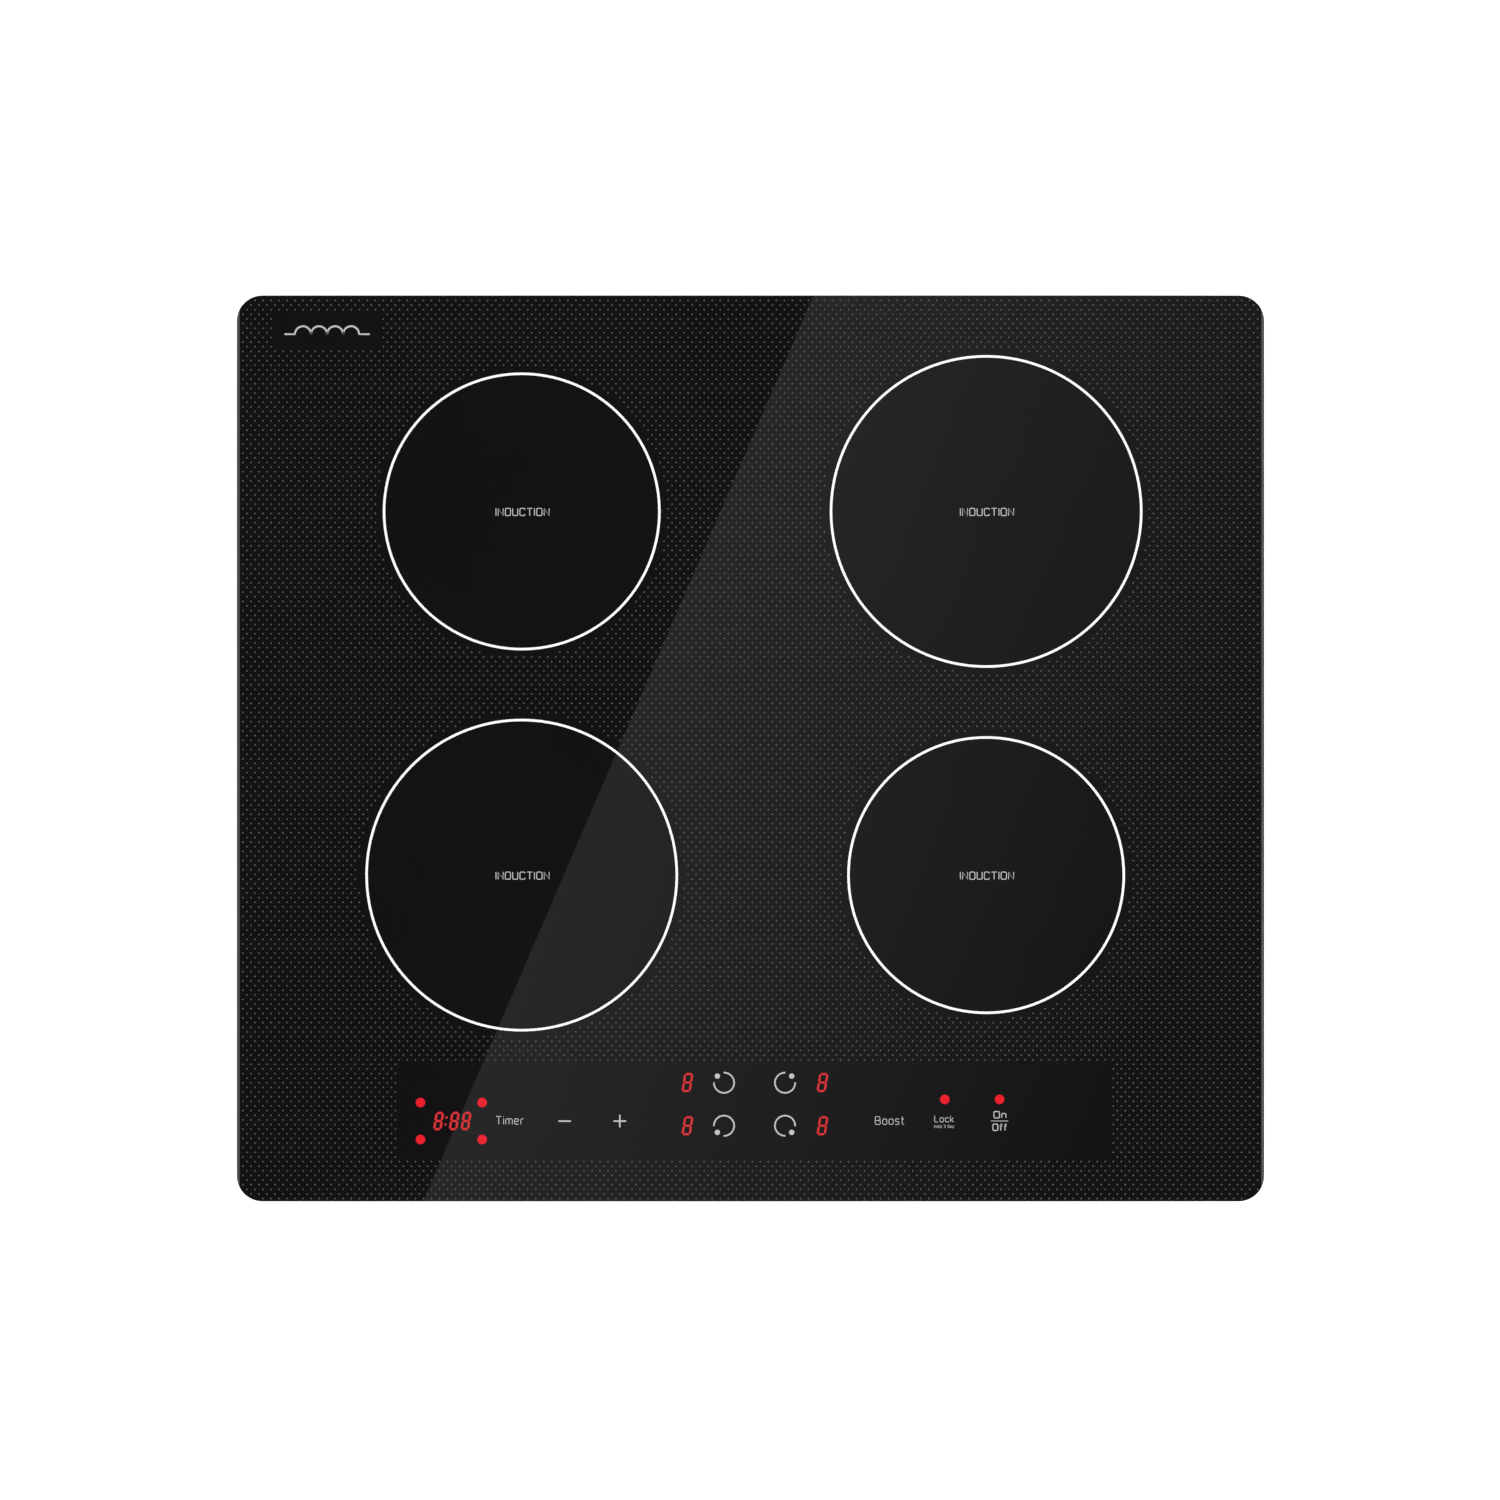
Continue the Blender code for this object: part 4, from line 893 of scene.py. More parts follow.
# Each letter is a list of straight strokes on a grid: x runs to the letter's width, y from the
# baseline at 0 to the capital height at 1. Rounding the corners gives the squarish look.
LETTERS = {
    "B": (0.62, [[(0, 0.5), (0.62, 0.5), (0.62, 0), (0, 0), (0, 1), (0.56, 1), (0.56, 0.5)]]),
    "C": (0.62, [[(0.62, 0.8), (0.62, 1), (0, 1), (0, 0), (0.62, 0), (0.62, 0.2)]]),
    "D": (0.64, [[(0, 0), (0, 1), (0.64, 1), (0.64, 0), (0, 0)]]),
    "H": (0.6, [[(0, 0), (0, 1)], [(0.6, 0), (0.6, 1)], [(0, 0.5), (0.6, 0.5)]]),
    "I": (0.0, [[(0, 0), (0, 1)]]),
    "L": (0.5, [[(0, 1), (0, 0), (0.5, 0)]]),
    "N": (0.62, [[(0, 0), (0, 1), (0.62, 0), (0.62, 1)]]),
    "O": (0.66, [[(0.33, 0), (0, 0), (0, 1), (0.66, 1), (0.66, 0), (0.33, 0)]]),
    "S": (0.6, [[(0.6, 0.82), (0.6, 1), (0, 1), (0, 0.5), (0.6, 0.5), (0.6, 0), (0, 0), (0, 0.18)]]),
    "T": (0.64, [[(0, 1), (0.64, 1)], [(0.32, 1), (0.32, 0)]]),
    "U": (0.62, [[(0, 1), (0, 0), (0.62, 0), (0.62, 1)]]),
    "c": (0.46, [[(0.46, 0.56), (0.46, 0.7), (0, 0.7), (0, 0), (0.46, 0), (0.46, 0.14)]]),
    "d": (0.5, [[(0.5, 1), (0.5, 0), (0, 0), (0, 0.7), (0.5, 0.7)]]),
    "e": (0.5, [[(0, 0.36), (0.5, 0.36), (0.5, 0.7), (0, 0.7), (0, 0), (0.48, 0)]]),
    "f": (0.32, [[(0.32, 1), (0.12, 1), (0.12, 0)], [(0, 0.7), (0.32, 0.7)]]),
    "i": (0.0, [[(0, 0), (0, 0.7)], [(0, 0.9), (0, 1)]]),
    "k": (0.46, [[(0, 0), (0, 1)], [(0.44, 0.7), (0.1, 0.34), (0.46, 0)], [(0, 0.34), (0.1, 0.34)]]),
    "l": (0.0, [[(0, 0), (0, 1)]]),
    "m": (0.8, [[(0, 0), (0, 0.7), (0.8, 0.7), (0.8, 0)], [(0.4, 0.7), (0.4, 0)]]),
    "n": (0.5, [[(0, 0), (0, 0.7), (0.5, 0.7), (0.5, 0)]]),
    "o": (0.5, [[(0.25, 0), (0, 0), (0, 0.7), (0.5, 0.7), (0.5, 0), (0.25, 0)]]),
    "r": (0.32, [[(0, 0), (0, 0.7), (0.32, 0.7)]]),
    "s": (0.44, [[(0.44, 0.7), (0, 0.7), (0, 0.36), (0.44, 0.36), (0.44, 0), (0, 0)]]),
    "t": (0.32, [[(0.12, 1), (0.12, 0), (0.32, 0)], [(0, 0.7), (0.32, 0.7)]]),
    "3": (0.56, [[(0, 1), (0.56, 1), (0.56, 0), (0, 0)], [(0.1, 0.5), (0.56, 0.5)]]),
    " ": (0.2, []),
}


def word(name, text, x, y, height, width, ink, line=LETTER_LINE):
    """A word whose printed outside is width by height, made of lines."""
    tall = height - line
    advance = sum(LETTERS[letter][0] + LETTER_SPACE for letter in text) - LETTER_SPACE
    across = (width - line) / advance
    cursor = x - (width - line) / 2
    paths = []
    for letter in text:
        wide, strokes = LETTERS[letter]
        for stroke in strokes:
            points = [(cursor + px * across, y + (py - 0.5) * tall) for px, py in stroke]
            paths.append((points, False))
        cursor += (wide + LETTER_SPACE) * across
    printed(name, paths, line, ink, LETTER_ROUNDING * height)


def rings_and_words():
    for (x, y, radius), zone in zip(zone_places(), ZONES):
        printed("zone_ring_" + zone, [(circle(radius, 144, (x, y)), True)], RING_LINE, RING_INK)
        place = (x + 0.5 * MM, y - 0.3 * MM)
        word("zone_word_" + zone, "INDUCTION", *place, *mm(4.6, 31), WORD_INK)


def coil_mark():
    """A plain inductor symbol, four humps between two leads, at the rear left."""
    humps, radius, lead = 4, 4.6 * MM, 6 * MM
    left = MARK_CENTRE.x - humps * radius - lead
    y = MARK_CENTRE.y - radius / 2
    path = [(left, y)]
    for hump in range(humps):
        path += arc(radius, HALF_TURN, 0, 12, (left + lead + (2 * hump + 1) * radius, y))
    path.append((MARK_CENTRE.x + humps * radius + lead, y))
    printed("inductor_mark", [(path, False)], 1.0 * MM, PANEL_INK)


def disc(bm, radius, steps, middle):
    slab(bm, circle(radius, steps, middle), GLASS_TOP, PRINT_TOP)


def touch_symbols():
    """Selector rings, plus and minus, and the words of the touch keys."""
    paths = []
    dots = bmesh.new()
    for x, side_x in ((-15.2 * MM, -1), (19.8 * MM, 1)):
        for y, side_y in ((-191.85 * MM, 1), (-216.5 * MM, -1)):
            towards = math.atan2(side_y, side_x)
            start, end = towards + SELECTOR_GAP, towards + FULL_TURN - SELECTOR_GAP
            paths.append((arc(SELECTOR_RADIUS, start, end, 40, (x, y)), False))
            reach = 5.4 * MM
            middle = (x + reach * math.cos(towards), y + reach * math.sin(towards))
            disc(dots, 1.5 * MM, 24, middle)
    new_piece("selector_dots", dots, "ceramic_print", material=PANEL_INK)
    half, y, gap = 3.6 * MM, -213.85 * MM, SYMBOL_LINE / 2
    for x in mm(-106.6, -75.0):
        paths.append(([(x - half, y), (x + half, y)], False))
    paths += [([(x, y - half), (x, y - gap)], False), ([(x, y + gap), (x, y + half)], False)]
    printed("touch_symbols", paths, SYMBOL_LINE, PANEL_INK)
    rule = [mm(138.0, -213.8), mm(147.8, -213.8)]
    printed("on_off_rule", [(rule, False)], 0.35 * MM, WORD_INK)
    words = (  # name, text, ink, then x, y, height, width and line in millimetres
        ("timer_word", "Timer", WORD_INK, -138.15, -213.4, 4.9, 16.1, 0.4),
        ("boost_word", "Boost", WORD_INK, 79.8, -213.5, 4.9, 16.8, 0.35),
        ("lock_word", "Lock", WORD_INK, 111.1, -212.6, 3.9, 11.2, 0.31),
        ("hold_words", "Hold 3 Sec", WORD_INK, 111.1, -216.9, 1.8, 11.5, 0.165),
        ("on_word", "On", PANEL_INK, 143.1, -210.2, 4.2, 7.4, 0.52),
        ("off_word", "Off", PANEL_INK, 143.0, -217.4, 4.2, 8.4, 0.54),
    )
    for name, text, ink, *sizes in words:
        x, y, height, width, line = mm(*sizes)
        word(name, text, x, y, height, width, ink, line)


# Displays


def seven_segments(bm, x, y, width, height, bar):
    """A lit figure eight: seven bars with pointed ends, leaning to the right."""
    w, h = (width - bar) / 2, (height - bar) / 2
    gap = bar * 0.12
    bars = [((-w, level), (w, level)) for level in (-h, 0, h)]
    bars += [((side, low), (side, low + h)) for side in (-w, w) for low in (-h, 0)]
    for start, end in bars:
        along = (Vector(end) - Vector(start)).normalized()
        across = Vector((-along.y, along.x)) * bar / 2
        first = Vector(start) + along * gap
        last = Vector(end) - along * gap
        inset = along * bar / 2
        outline = [first, first + inset - across, last - inset - across]
        outline += [last, last - inset + across, first + inset + across]
        slab(bm, [(x + p.x + p.y * DIGIT_LEAN, y + p.y) for p in outline], GLASS_TOP, PRINT_TOP)


def displays():
    timer = bmesh.new()
    timer_y, colon_rise = -213.8 * MM, 2.0 * MM
    for x in mm(-179.0, -170.0, -163.2):
        seven_segments(timer, x, timer_y, *mm(4.9, 10.6, 1.28))
    for side in (-1, 1):
        middle = (-174.7 * MM + side * colon_rise * DIGIT_LEAN, timer_y + side * colon_rise)
        disc(timer, 0.65 * MM, 16, middle)
    new_piece("timer_display", timer, "red_display", material=SEGMENT)
    for row, y in (("rear", -191.7), ("front", -216.5)):
        for side, x in (("left", -36.2), ("right", 41.3)):
            power = bmesh.new()
            seven_segments(power, *mm(x, y, 5.3, 10.9, 1.17))
            new_piece(f"power_display_{row}_{side}", power, "red_display", material=SEGMENT)
    lamps = bmesh.new()
    around_timer = [mm(x, y) for x in (-189.4, -154.0) for y in (-203.2, -224.4)]
    over_keys = [mm(111.5, -201.4), mm(142.9, -201.4)]
    for middle in around_timer + over_keys:
        disc(lamps, LAMP_RADIUS, 32, middle)
    new_piece("indicator_lamps", lamps, "red_display", material=LAMP)


# Folded sheet metal under the glass


def fold(radius, sheet=0.0, steps=4):
    """The outside of a fold as (inset, height above the floor's underside), or its inside."""
    turns = [QUARTER_TURN * step / steps for step in range(steps + 1)]
    r = radius - sheet
    return [(sheet + r * (1 - math.sin(t)), sheet + r * (1 - math.cos(t))) for t in turns]


def folded(node, corner, profile, closed, steps=6):
    """An (inset, height) profile carried round a node's own rectangle."""
    low, high, middle = box(node)
    size = high - low
    loops = []
    for inset, height in profile:
        outline = rounded_rectangle(size.x - 2 * inset, size.y - 2 * inset, corner - inset, steps)
        loops.append([(middle.x + x, middle.y + y, height) for x, y in outline])
    bm = bmesh.new()
    walls(bm, loops, closed)
    return bm


def worktop_seal():
    """Foam strip stuck under the glass edge, its corners slightly crushed."""
    low, high, _ = box("worktop_seal")
    crush, wide = 0.7 * MM, 10 * MM
    outside = [(crush, low.z), (0, low.z + crush), (0, high.z - crush), (crush, high.z)]
    inside = [(wide - inset, height) for inset, height in reversed(outside)]
    strip = folded("worktop_seal", SEAL_CORNER, outside + inside, True, 8)
    new_piece("foam_strip", strip, "foam_seal", "worktop_seal")


def mounting_frame():
    """Folded angle round the cut-out, with a rounded bend between its skirt and its flange."""
    low, high, _ = box("mounting_frame")
    outside = [(inset, high.z - rise) for inset, rise in reversed(fold(FRAME_BEND))]
    inside = [(inset, high.z - rise) for inset, rise in fold(FRAME_BEND, FRAME_SHEET)]
    edge = [(FLANGE, high.z), (FLANGE, high.z - FRAME_SHEET)]
    profile = [(0, low.z), *outside, *edge, *inside, (FRAME_SHEET, low.z)]
    angle = folded("mounting_frame", FRAME_CORNER, profile, True)
    new_piece("folded_frame", angle, "galvanised_steel", "mounting_frame")


def fan_places():
    for side in ("left", "right"):
        low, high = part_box("fan_rotor_" + side)
        yield (low.x + high.x) / 2, (low.y + high.y) / 2


def prism(bm, outline, place, low, high, upright=False):
    """A cutter of an outline, standing on the floor or, where upright, through the rear wall."""
    before = set(bm.verts)
    slab(bm, outline, low, high)
    verts = [vert for vert in bm.verts if vert not in before]
    if upright:
        bmesh.ops.rotate(bm, matrix=Matrix.Rotation(QUARTER_TURN, 3, "X"), verts=verts)
    bmesh.ops.translate(bm, vec=place, verts=verts)


def bottom_tray():
    """Folded tray with its fan inlets, exhaust slots, rear vents, and notch for the terminal box."""
    low, high, _ = box("bottom_tray")
    outside = [(inset, UNDERSIDE + rise) for inset, rise in fold(BEND)]
    inside = [(inset, UNDERSIDE + rise) for inset, rise in reversed(fold(BEND, SHEET))]
    profile = [*outside, (0, high.z), (SHEET, high.z), *inside]
    walls_and_floor = folded("bottom_tray", TRAY_CORNER, profile, False)
    tray = add_mesh("folded_tray", walls_and_floor, [FINISH["galvanised_steel"]])

    cutters = bmesh.new()
    depth = 2 * MM
    through = (UNDERSIDE - depth, UNDERSIDE + depth)
    exhaust, exhaust_y = stadium(36 * MM, SLOT_WIDTH), low.y + 34 * MM
    vent, vent_z = stadium(16 * MM, SLOT_WIDTH), UNDERSIDE + SHEET + 16 * MM
    screw_hole = circle(2.4 * MM, 16)
    for x, y in fan_places():
        for i in range(-3, 4):
            reach = math.sqrt(FAN_INLET**2 - (i * SLOT_PITCH) ** 2)
            slot = stadium(2 * reach + SLOT_WIDTH, SLOT_WIDTH)
            prism(cutters, slot, (x + i * SLOT_PITCH, y, 0), *through)
        for i in range(-5, 6):
            prism(cutters, exhaust, (x + i * SLOT_PITCH, exhaust_y, 0), *through)
    left_fan = next(fan_places())[0]
    for i in range(8):
        place = (left_fan + (i - 3.5) * SLOT_PITCH, high.y, vent_z)
        prism(cutters, vent, place, -depth, depth, upright=True)
    for name in CLAMPS:
        middle = box("clamp_screw_" + name)[2]
        prism(cutters, screw_hole, (middle.x, middle.y, 0), *through)
    box_low, box_high, box_middle = box("terminal_box")
    gap, past = 0.3 * MM, 10 * MM  # round the terminal box, and beyond the tray
    size = box_high - box_low + Vector((2 * gap, past, past))
    notch_y = box_low.y - gap + size.y / 2
    block(cutters, size, (box_middle.x, notch_y, box_high.z + gap - size.z / 2))
    piece(cut(tray, cutters), "casing", "galvanised_steel", "bottom_tray")


def screw_head():
    """A pan head with a cross recess, 6 mm across and 1.8 mm high, standing on Z = 0."""
    profile = [(3.0, 0), (3.0, 0.7), (2.75, 1.25), (2.1, 1.65), (1.1, 1.8)]
    recess = cross(3.4, 0.75, 1.0)
    bmesh.ops.translate(recess, vec=(0, 0, 1.9), verts=recess.verts)
    head = cut(add_mesh("screw_head", lathe(profile, 20)), recess)
    head.data.transform(Matrix.Scale(MM, 4))
    return head


def board_corners():
    """(x, y, top) at each screw of the power boards."""
    inset = BOARD_SCREW_INSET
    for side in ("left", "right"):
        low, high, _ = box("power_board_" + side)
        for x in (low.x + inset, high.x - inset):
            for y in (low.y + inset, high.y - inset):
                yield x, y, high.z


def pressed_parts():
    """Feet drawn down from the tray, stiffening beads, and bosses under the boards."""
    _, high, _ = box("bottom_tray")
    board_low = box("power_board_left")[0]
    base = UNDERSIDE + SHEET / 2
    r, flare = FOOT_RADIUS, 1.4 * MM
    profile = [(r - 1.2 * MM, 0), (r - 0.35 * MM, 0.35 * MM), (r, 1.2 * MM)]
    for t in (0, 0.5, 1.0, 1.5):
        profile.append((r + flare * (1 - math.cos(t)), UNDERSIDE - flare * (1 - math.sin(t))))
    profile.append((r + flare, base))
    x, y = high.x - FOOT_INSET, high.y - FOOT_INSET
    places = [(sx * x, sy * y, 0, 0) for sx in (-1, 1) for sy in (-1, 1)]
    set_out("tray_feet", lathe(profile, 40), places, "galvanised_steel")

    bead = bmesh.new()
    bead_length, bead_width = 130, 9
    loops = []
    for inset, drop in ((1.2, 1.0), (0.5, 0.8), (0.15, 0.45), (0, 0.0)):
        outline = stadium((bead_length - 9 * inset) * MM, (bead_width - 4 * inset) * MM, 8)
        loops.append([(px, py, -drop * MM) for px, py in outline])
    loops.append([(px, py, SHEET / 2) for px, py, _ in loops[-1]])
    walls(bead, loops)
    along = board_low.y + 75 * MM
    places = [(px * MM, along, UNDERSIDE, 0) for px in (-205, -155, -95, -45, 45, 95, 155, 205)]
    places += [(*mm(px, py), UNDERSIDE, QUARTER_TURN) for px, py in ((-130, 165), (20, 165), (0, 205))]
    set_out("tray_beads", bead, places, "galvanised_steel")

    top = board_low.z - 0.3 * MM
    foot, neck = (6 * MM, base), (5 * MM, base + 1.2 * MM)
    boss = lathe([foot, neck, (4 * MM, top - 0.6 * MM), (3.4 * MM, top)], 20)
    places = [(px, py, 0, 0) for px, py, _ in board_corners()]
    set_out("board_bosses", boss, places, "galvanised_steel")


def screws():
    """Every small screw: through the frame's skirt, up through the floor, and into the boards."""
    low, high, _ = box("mounting_frame")
    z = (low.z + high.z) / 2 - 1 * MM
    skirt = []
    for side in (-1, 1):
        turn = 0 if side > 0 else HALF_TURN
        skirt += [(side * high.x, y * MM, z, turn) for y in (-200, -100, 0, 100, 200)]
    for side in (-1, 1):
        turn = side * QUARTER_TURN
        skirt += [(x * MM, side * high.y, z, turn) for x in (-225, -112, 0, 112, 225)]

    floor = [(x, y, UNDERSIDE, 0.4) for x, y, _ in board_corners()]
    for rail in ("spring_rail_front", "spring_rail_rear"):
        rail_low, rail_high, _ = box(rail)
        for x in mm(-230, -80, 80, 230):
            for y in (rail_low.y + 3 * MM, rail_high.y - 3 * MM):
                floor.append((x, y, UNDERSIDE, 0.9))
    for x, y in fan_places():
        for t in (0.6, 2.5, 4.2):
            off = (FAN_SCREW_RADIUS * math.cos(t), FAN_SCREW_RADIUS * math.sin(t))
            floor.append((x + off[0], y + off[1], UNDERSIDE, t))
    box_low, box_high, _ = box("terminal_box")
    left, right = box_low.x - NOTCH_MARGIN, box_high.x + NOTCH_MARGIN
    front = box_low.y - NOTCH_MARGIN
    floor = [place for place in floor if not (left < place[0] < right and place[1] > front)]

    low, high, _ = box("terminal_lid")
    xs, ys = (low.x + 7 * MM, high.x - 7 * MM), (low.y + 7 * MM, high.y - 7 * MM)
    lid = [(x, y, low.z, 0.3) for x in xs for y in ys]
    boards = [(*place, 0.7) for place in board_corners()]
    low, high, middle = box("terminal_block")
    ys = (low.y + 6 * MM, high.y - 6 * MM)
    poles = [(middle.x + i * 13 * MM, y, low.z + 7 * MM, 0.2 * i) for i in range(-2, 3) for y in ys]

    head = screw_head()
    facing_out, facing_down, facing_up = (0, QUARTER_TURN, 0), (HALF_TURN, 0, 0), (0, 0, 0)
    kinds = (
        ("frame_screws", skirt, facing_out, 0.85),
        ("floor_screws", floor, facing_down, 1.0),
        ("lid_screws", lid, facing_down, 1.0),
        ("board_screws", boards, facing_up, 1.0),
        ("pole_screws", poles, facing_down, 1.25),
    )
    for name, places, turn, size in kinds:
        set_out(name, head, places, "zinc_plated_steel", "casing", turn, size, keep_part=True)
    bpy.data.objects.remove(head)


# Clamps and cable inlet


def clamps():
    """The four turn-out clamps and their pan-head screws."""
    head, thread, pitch = 2.2 * MM, 2.0 * MM, 0.8 * MM
    for name in CLAMPS:
        softened("clamp_bracket_" + name, 0.35 * MM, "zinc_plated_steel")
        low, high, middle = box("clamp_screw_" + name)
        r, height = (high.x - low.x) / 2, high.z - low.z
        crown = ((0.45, 0), (0.8, 0.1), (0.97, 0.4), (1, 0.6), (1, 1))
        profile = [(across * r, up * head) for across, up in crown]
        profile.append((thread, head))
        for turn in range(int((height - head - 1 * MM) / pitch)):
            for root, up in ((0, 0.3), (0.35, 0.65), (0, 1)):
                profile.append((thread - root * MM, head + (turn + up) * pitch))
        profile.append((thread - 0.5 * MM, height))
        blank = lathe(profile, 28)
        screw = add_mesh("clamp_screw_turned_" + name, blank, [FINISH["zinc_plated_steel"]])
        screw = cut(screw, cross(1.25 * r, 0.24 * r, 0.7 * head, 0.5))
        screw.data.transform(Matrix.Translation((middle.x, middle.y, low.z)))
        piece(screw, "casing", "zinc_plated_steel", "clamp_screw_" + name)


def cable_inlet():
    """The terminal box with its lid and wire block, and the rubber grommet in its rear wall."""
    softened("terminal_box", 0.7 * MM, "black_plastic")
    softened("terminal_lid", 0.5 * MM, "black_plastic")
    softened("terminal_block", 0.3 * MM, "white_plastic")
    low, high, middle = box("cable_grommet")
    outer, half = (high.x - low.x) / 2, (high.y - low.y) / 2
    bore, lip, groove, waist = mm(6.5, 1.1, 1.3, 2.3)
    lower = [  # up to the middle of the wall
        (bore, -half + 0.6 * MM),
        (bore + 0.5 * MM, -half),
        (outer - lip, -half),
        (outer - 0.3 * lip, -half + 0.35 * lip),
        (outer, -half + lip),
        (outer, -groove),
        (outer - waist, -groove),
    ]
    upper = [(radius, -height) for radius, height in reversed(lower)]
    ring = lathe([*lower, *upper, (bore + 0.4 * MM, 0)], 48, closed=True)
    bmesh.ops.rotate(ring, matrix=Matrix.Rotation(-QUARTER_TURN, 3, "X"), verts=ring.verts)
    bmesh.ops.translate(ring, vec=middle, verts=ring.verts)
    new_piece("lipped_grommet", ring, "black_rubber", "cable_grommet")


# Springs, coils and carriers


def springs():
    """Compression springs under the carriers, each as long as its spring node."""
    wire = SPRING_WIRE
    for node, body in BODY_OF.items():
        if not node.startswith("carrier_spring_"):
            continue
        low, high, middle = box(node)
        radius, length = (high.x - low.x - wire) / 2, high.z - low.z
        foot = (middle.x, middle.y, low.z + wire / 2)
        name, slot = node.replace("carrier_spring", "wire_spring"), "zinc_plated_steel"
        size = ((radius, radius), SPRING_TURNS, length - wire)
        spring = wound(name, *size, 24, (wire, wire), 10, foot, slot)
        piece(spring, body, slot, node)
        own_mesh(spring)


def washer(node, hole, place=(0, 0)):
    """A flat ring as wide and as high as a node."""
    low, high, _ = box(node)
    radius = (high.x - low.x) / 2
    profile = [(hole, low.z), (radius, low.z), (radius, high.z), (hole, high.z)]
    return lathe(profile, 96, True, place)


def coil_discs(zone, body, middle):
    """The spoked former under a winding, the mica disc over it, and the sensor in their middle."""
    node = "coil_former_" + zone
    low, high, _ = box(node)
    radius, hole, spokes, rim = (high.x - low.x) / 2, 12 * MM, 6, 8 * MM
    former = add_mesh("spoked_former_" + zone, washer(node, hole), [FINISH["black_plastic"]])
    windows = bmesh.new()
    for i in range(spokes):
        start, end = ((i + share) * FULL_TURN / spokes for share in (0.2, 0.8))
        outline = arc(radius - rim, start, end, 12) + arc(hole + rim, end, start, 5)
        slab(windows, outline, low.z - 1 * MM, high.z + 1 * MM)
    former = cut(former, windows)
    former.data.transform(Matrix.Translation((middle.x, middle.y, 0)))
    piece(rounded(former, 0.4 * MM), body, "black_plastic", node)

    node = "mica_disc_" + zone
    disc_of_mica = washer(node, 7 * MM, middle.xy)
    new_piece("mica_sheet_" + zone, disc_of_mica, "mica_sheet", node, body=body)

    node = "temperature_sensor_" + zone
    low, high, _ = box(node)
    flange, radius, seat = (high.x - low.x) / 2, 6 * MM, low.z + 1.5 * MM
    edge, fillet = 0.3 * MM, 0.5 * MM
    profile = [(flange - edge, low.z), (flange, low.z + edge), (flange, seat - edge)]
    profile += [(flange - edge, seat), (radius + fillet, seat), (radius, seat + fillet)]
    profile += [(radius - x, high.z - down) for x, down in (mm(0, 1.2), mm(0.35, 0.35), mm(1.2, 0))]
    boot = lathe(profile, 36, place=middle.xy)
    new_piece("sensor_boot_" + zone, boot, "silicone_sensor", node, body=body)


def coils():
    """Litz spirals on their formers, with ferrite bars in the formers' windows."""
    for zone in ZONES:
        body = "carrier_" + zone.split("_")[1]
        low, high, middle = box("coil_winding_" + zone)
        outer = (high.x - low.x) / 2
        radii = (WINDING_HOLE + ROPE / 2, outer - ROPE / 2)
        turns = (outer - WINDING_HOLE - ROPE) / (ROPE + ROPE_GAP)
        rope, slot = (ROPE, high.z - low.z), "copper_winding"
        winding = wound("litz_winding_" + zone, radii, turns, 0.0, 44, rope, 8, middle, slot)
        piece(winding, body, slot, "coil_winding_" + zone)
        coil_discs(zone, body, middle)
        low, high, former = box("coil_former_" + zone)
        start, end = 23 * MM, (high.x - low.x) / 2 - 10 * MM
        bar = bmesh.new()
        block(bar, (end - start, 10 * MM, 3.4 * MM), ((end + start) / 2, 0, 0), 0.5 * MM)
        bars = [(middle.x, middle.y, former.z, (i + 0.5) * FULL_TURN / 6) for i in range(6)]
        set_out("ferrite_bars_" + zone, bar, bars, "ferrite", body)
    for side in ("left", "right"):
        softened("coil_carrier_" + side, 0.4 * MM, "aluminium")


# Electronics


def turned(profile, steps, closed=False):
    """A lathe profile given in millimetres."""
    bm = lathe(profile, steps, closed)
    bmesh.ops.scale(bm, vec=mm(1, 1, 1), verts=bm.verts)
    return bm


def standing(width, depth, height, round_by, lift=0.0):
    """A block that stands on Z = 0, or above it, by sizes in millimetres."""
    bm = bmesh.new()
    block(bm, mm(width, depth, height), (0, 0, (lift + height / 2) * MM), round_by * MM)
    return bm


def on_boards(places, lift=0.0):
    """Places in millimetres from each power board's middle, mirrored on the left board."""
    for sign, side in ((-1, "left"), (1, "right")):
        _, high, middle = box("power_board_" + side)
        turn = 0 if sign > 0 else HALF_TURN
        for x, y in places:
            yield middle.x + sign * x * MM, middle.y + y * MM, high.z + lift, turn


def chip():
    """A flat chip with seven legs on each side."""
    bm = standing(9, 6, 1.8, 0.25, 0.4)
    for i in range(-3, 4):
        for side in (-1, 1):
            block(bm, mm(0.5, 1.6, 0.9), mm(i * LEAD_PITCH, side * 3.6, 0.45))
    return bm


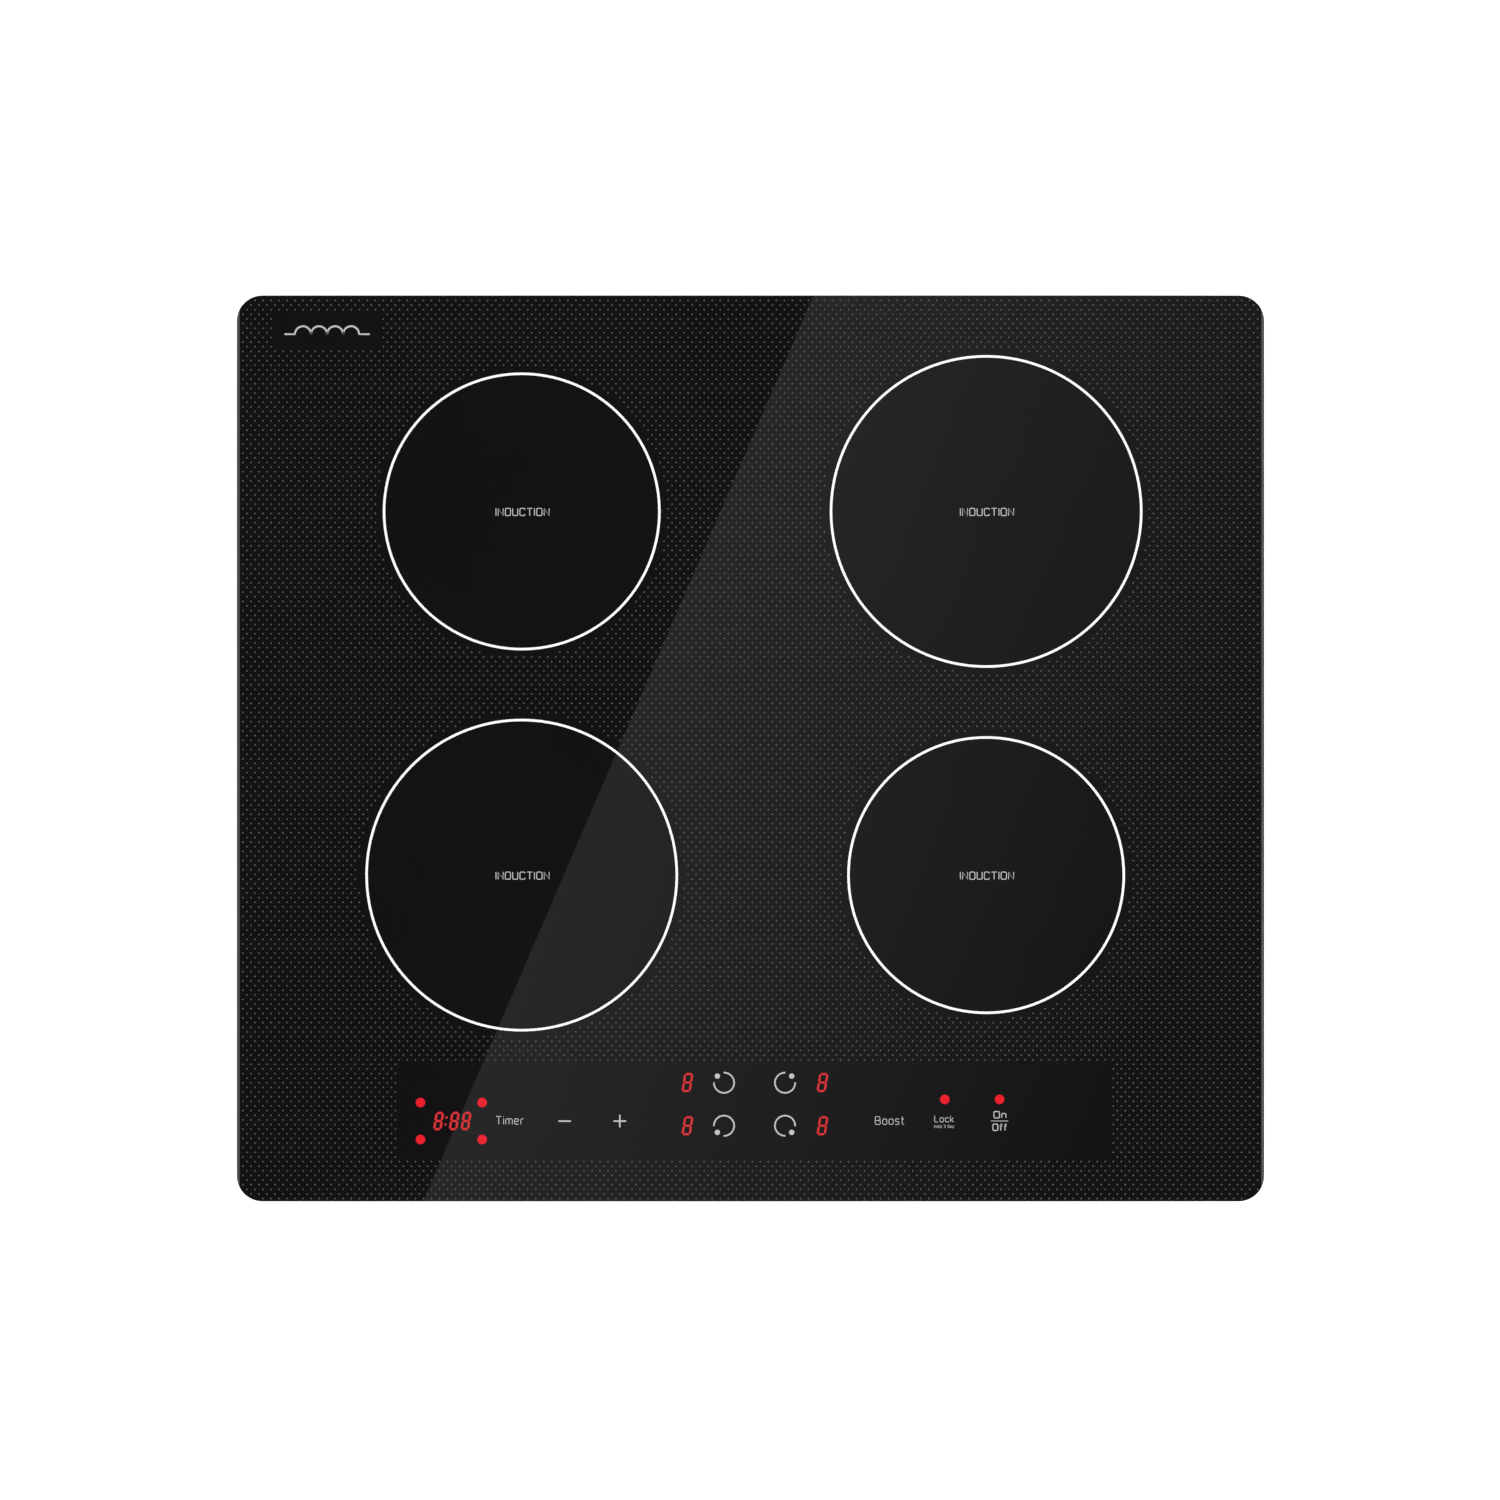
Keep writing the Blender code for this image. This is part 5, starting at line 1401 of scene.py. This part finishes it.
def electronics():
    """Parts that stand on the power boards, set out alike on both."""
    can = [(8.6, 0), (9, 0.4), (9, 2), (8.5, 2.6), (9, 3.2), (9, 24.4), (8.4, 25), (7.4, 25), (7.2, 24.7)]
    chips = ((-50, -20), (-50, -34), (-68, -20), (-68, -34), (95, -30), (95, -44))
    sockets = ((-98, -62), (-80, -62), (60, -62), (80, -62))
    kinds = (
        ("electrolytic_cans", turned(can, 32), ((-50, 55), (-72, 55), (-94, 55)), "aluminium"),
        ("relays", standing(20, 16, 16, 0.6), ((-48, 24), (-48, 2), (92, 55)), "black_plastic"),
        ("control_chips", chip(), chips, "black_plastic"),
        ("wire_sockets", standing(14, 7, 8, 0.5), sockets, "white_plastic"),
    )
    for name, part, places, slot in kinds:
        set_out(name, part, list(on_boards(places)), slot)

    half_core = [(8, -5), (8.8, -5.6), (14.2, -5.6), (15, -5)]
    core = half_core + [(radius, -height) for radius, height in reversed(half_core)]
    chokes = list(on_boards([(-90, 18)], 7 * MM))
    set_out("choke_cores", turned(core, 40, closed=True), chokes, "ferrite")
    wrap = wound("wrap", mm(4.6, 4.6), 1.0, 0.0, 16, mm(1.1, 1.1), 8, (0, 0, 0), "copper_winding")
    wrap.data.transform(Matrix.Diagonal((1.0, 1.42, 1.0, 1.0)))
    upright = Matrix.Rotation(QUARTER_TURN, 4, "X")
    wrap.data.transform(Matrix.Translation((11.5 * MM, 0, 0)) @ upright)
    spins = [side + (i - 4) * 0.16 for side in (0, HALF_TURN) for i in range(9)]
    wraps = [(x, y, z, spin) for x, y, z, _ in chokes for spin in spins]
    set_out("choke_wraps", wrap, wraps, "copper_winding")

    places = list(on_boards([(34.5, 30), (34.5, 4), (34.5, -22)]))
    set_out("power_transistors", standing(5, 16, 20, 0.4, 2), places, "black_plastic")


def touch_parts():
    """Foam-filled touch pads and display housings between the touch board and the glass."""
    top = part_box("touch_board")[1].z
    tall = GLASS_LOW.z - 0.4 * MM - top
    edge = 0.4 * MM
    profile = [(4.6 * MM, 0), (5 * MM, edge), (5 * MM, tall - edge), (4.6 * MM, tall)]
    keys = [(x, y) for x in (-15.2, 19.8) for y in (-192.0, -216.7)]
    keys += [(x, -213.8) for x in (-106.8, -75.2, 79.8, 111.1, 142.9)]
    places = [(*mm(x, y), top, 0) for x, y in keys]
    set_out("touch_pads", lathe(profile, 24), places, "black_rubber")
    digits = [(x, y) for x in (-36.2, 41.3) for y in (-191.7, -216.5)]
    digits += [(x, -213.8) for x in (-179.5, -170.5, -161.5)]
    places = [(*mm(x, y), top, 0) for x, y in digits]
    set_out("display_housings", standing(9, 14, tall / MM, 0.4), places, "black_plastic")


def hidden_pieces():
    """CAD pieces under the glass: rounded copies of the moulded and pressed ones, finishes on all."""
    for node in BODY_OF:
        for start, (width, slot) in ROUNDED.items():
            if node.startswith(start):
                softened(node, width * MM, slot)
    for node, finish in PLAIN.items():
        mesh = frame["nodes"][node].data
        mesh.materials.clear()
        mesh.materials.append(FINISH[finish])


# Studio


def white_floor():
    """A pale studio floor that glows a little, so that it stays white close to the object."""
    bm = bmesh.new()
    bmesh.ops.create_circle(bm, cap_ends=True, segments=64, radius=FLOOR_RADIUS)
    material, tree = surface("pale_floor", "#F2F2F2", 0.9)
    feed(tree, tree.nodes["Principled BSDF"], {"Specular IOR Level": 0.0})
    glow(material, "#FFFFFF", FLOOR_GLOW)
    floor = add_mesh("studio_floor", bm, [material])
    floor.location.z = cad_low.z - 0.2 * MM


def studio_sky():
    """White round the horizon, dim above it, and one soft-edged bright card near the zenith.

    The card's straight edge crosses the plate, and its light fades to the right.
    """
    world = bpy.data.worlds.new("studio")
    world.use_nodes = True
    bpy.context.scene.world = world
    tree = world.node_tree
    direction = add(tree, "ShaderNodeTexCoord").outputs["Generated"]
    axes = add(tree, "ShaderNodeSeparateXYZ", [direction]).outputs
    height = axes["Z"]
    steep = add(tree, MATH, (height, 0.01), operation="MAXIMUM")
    slopes = [add(tree, MATH, (axes[name], steep), operation="DIVIDE") for name in "XY"]
    edge = CARD_EDGE[1] - CARD_EDGE[0]
    normal = Vector((edge.y, -edge.x)).normalized()
    offset = CARD_EDGE[1].dot(normal) / CAMERA_DISTANCE
    past = add(tree, MATH, (slopes[0], normal.x), operation="MULTIPLY")
    past = add(tree, MATH, (slopes[1], normal.y, past), operation="MULTIPLY_ADD")
    past = add(tree, MATH, (past, offset), operation="SUBTRACT")
    fade = add(tree, RANGE, (past, 0.0, CARD_FADE / CAMERA_DISTANCE, CARD_LIGHT, 0.0))
    inside = add(tree, MATH, (past, 0.0), operation="GREATER_THAN")
    card = add(tree, MATH, (fade, inside), operation="MULTIPLY")
    overhead = add(tree, MATH, (card, ZENITH_LIGHT), operation="ADD")
    dim = add(tree, RANGE, (height, HORIZON_TOP, SKY_START, HORIZON_LIGHT, SKY_LIGHT))
    low = add(tree, MATH, (height, CARD_START), operation="LESS_THAN")
    high = add(tree, MATH, (1.0, low), operation="SUBTRACT")
    around = add(tree, MATH, (dim, low), operation="MULTIPLY")
    light = add(tree, MATH, (overhead, high, around), operation="MULTIPLY_ADD")
    feed(tree, tree.nodes["Background"], {"Color": colour("#FFFFFF"), "Strength": light})


def soft_light(name, azimuth, elevation, power):
    """A square soft box, aimed at the middle of the object."""
    light = bpy.data.lights.new(name, "AREA")
    light.size = LIGHT_SIZE
    light.energy = power
    lamp = link(name, light)
    a, e = math.radians(azimuth), math.radians(elevation)
    away = Vector((math.sin(a) * math.cos(e), -math.cos(a) * math.cos(e), math.sin(e)))
    lamp.location = CENTRE + away * LIGHT_DISTANCE
    lamp.rotation_euler = away.to_track_quat("Z", "Y").to_euler()


def studio():
    lens = bpy.data.cameras.new("camera")
    lens.lens = CAMERA_LENS
    lens.clip_end = 100
    camera = link("camera", lens)
    camera.location = (*CAMERA_PLACE, GLASS_TOP + CAMERA_DISTANCE)
    bpy.context.scene.camera = camera
    white_floor()
    studio_sky()
    for name, place in SOFT_BOXES.items():
        soft_light(name, *place)
    bpy.context.scene.view_settings.view_transform = "Standard"


studio()
glass_plate()
dot_print()
rings_and_words()
coil_mark()
touch_symbols()
displays()
worktop_seal()
mounting_frame()
bottom_tray()
pressed_parts()
screws()
clamps()
cable_inlet()
springs()
coils()
electronics()
touch_parts()
hidden_pieces()
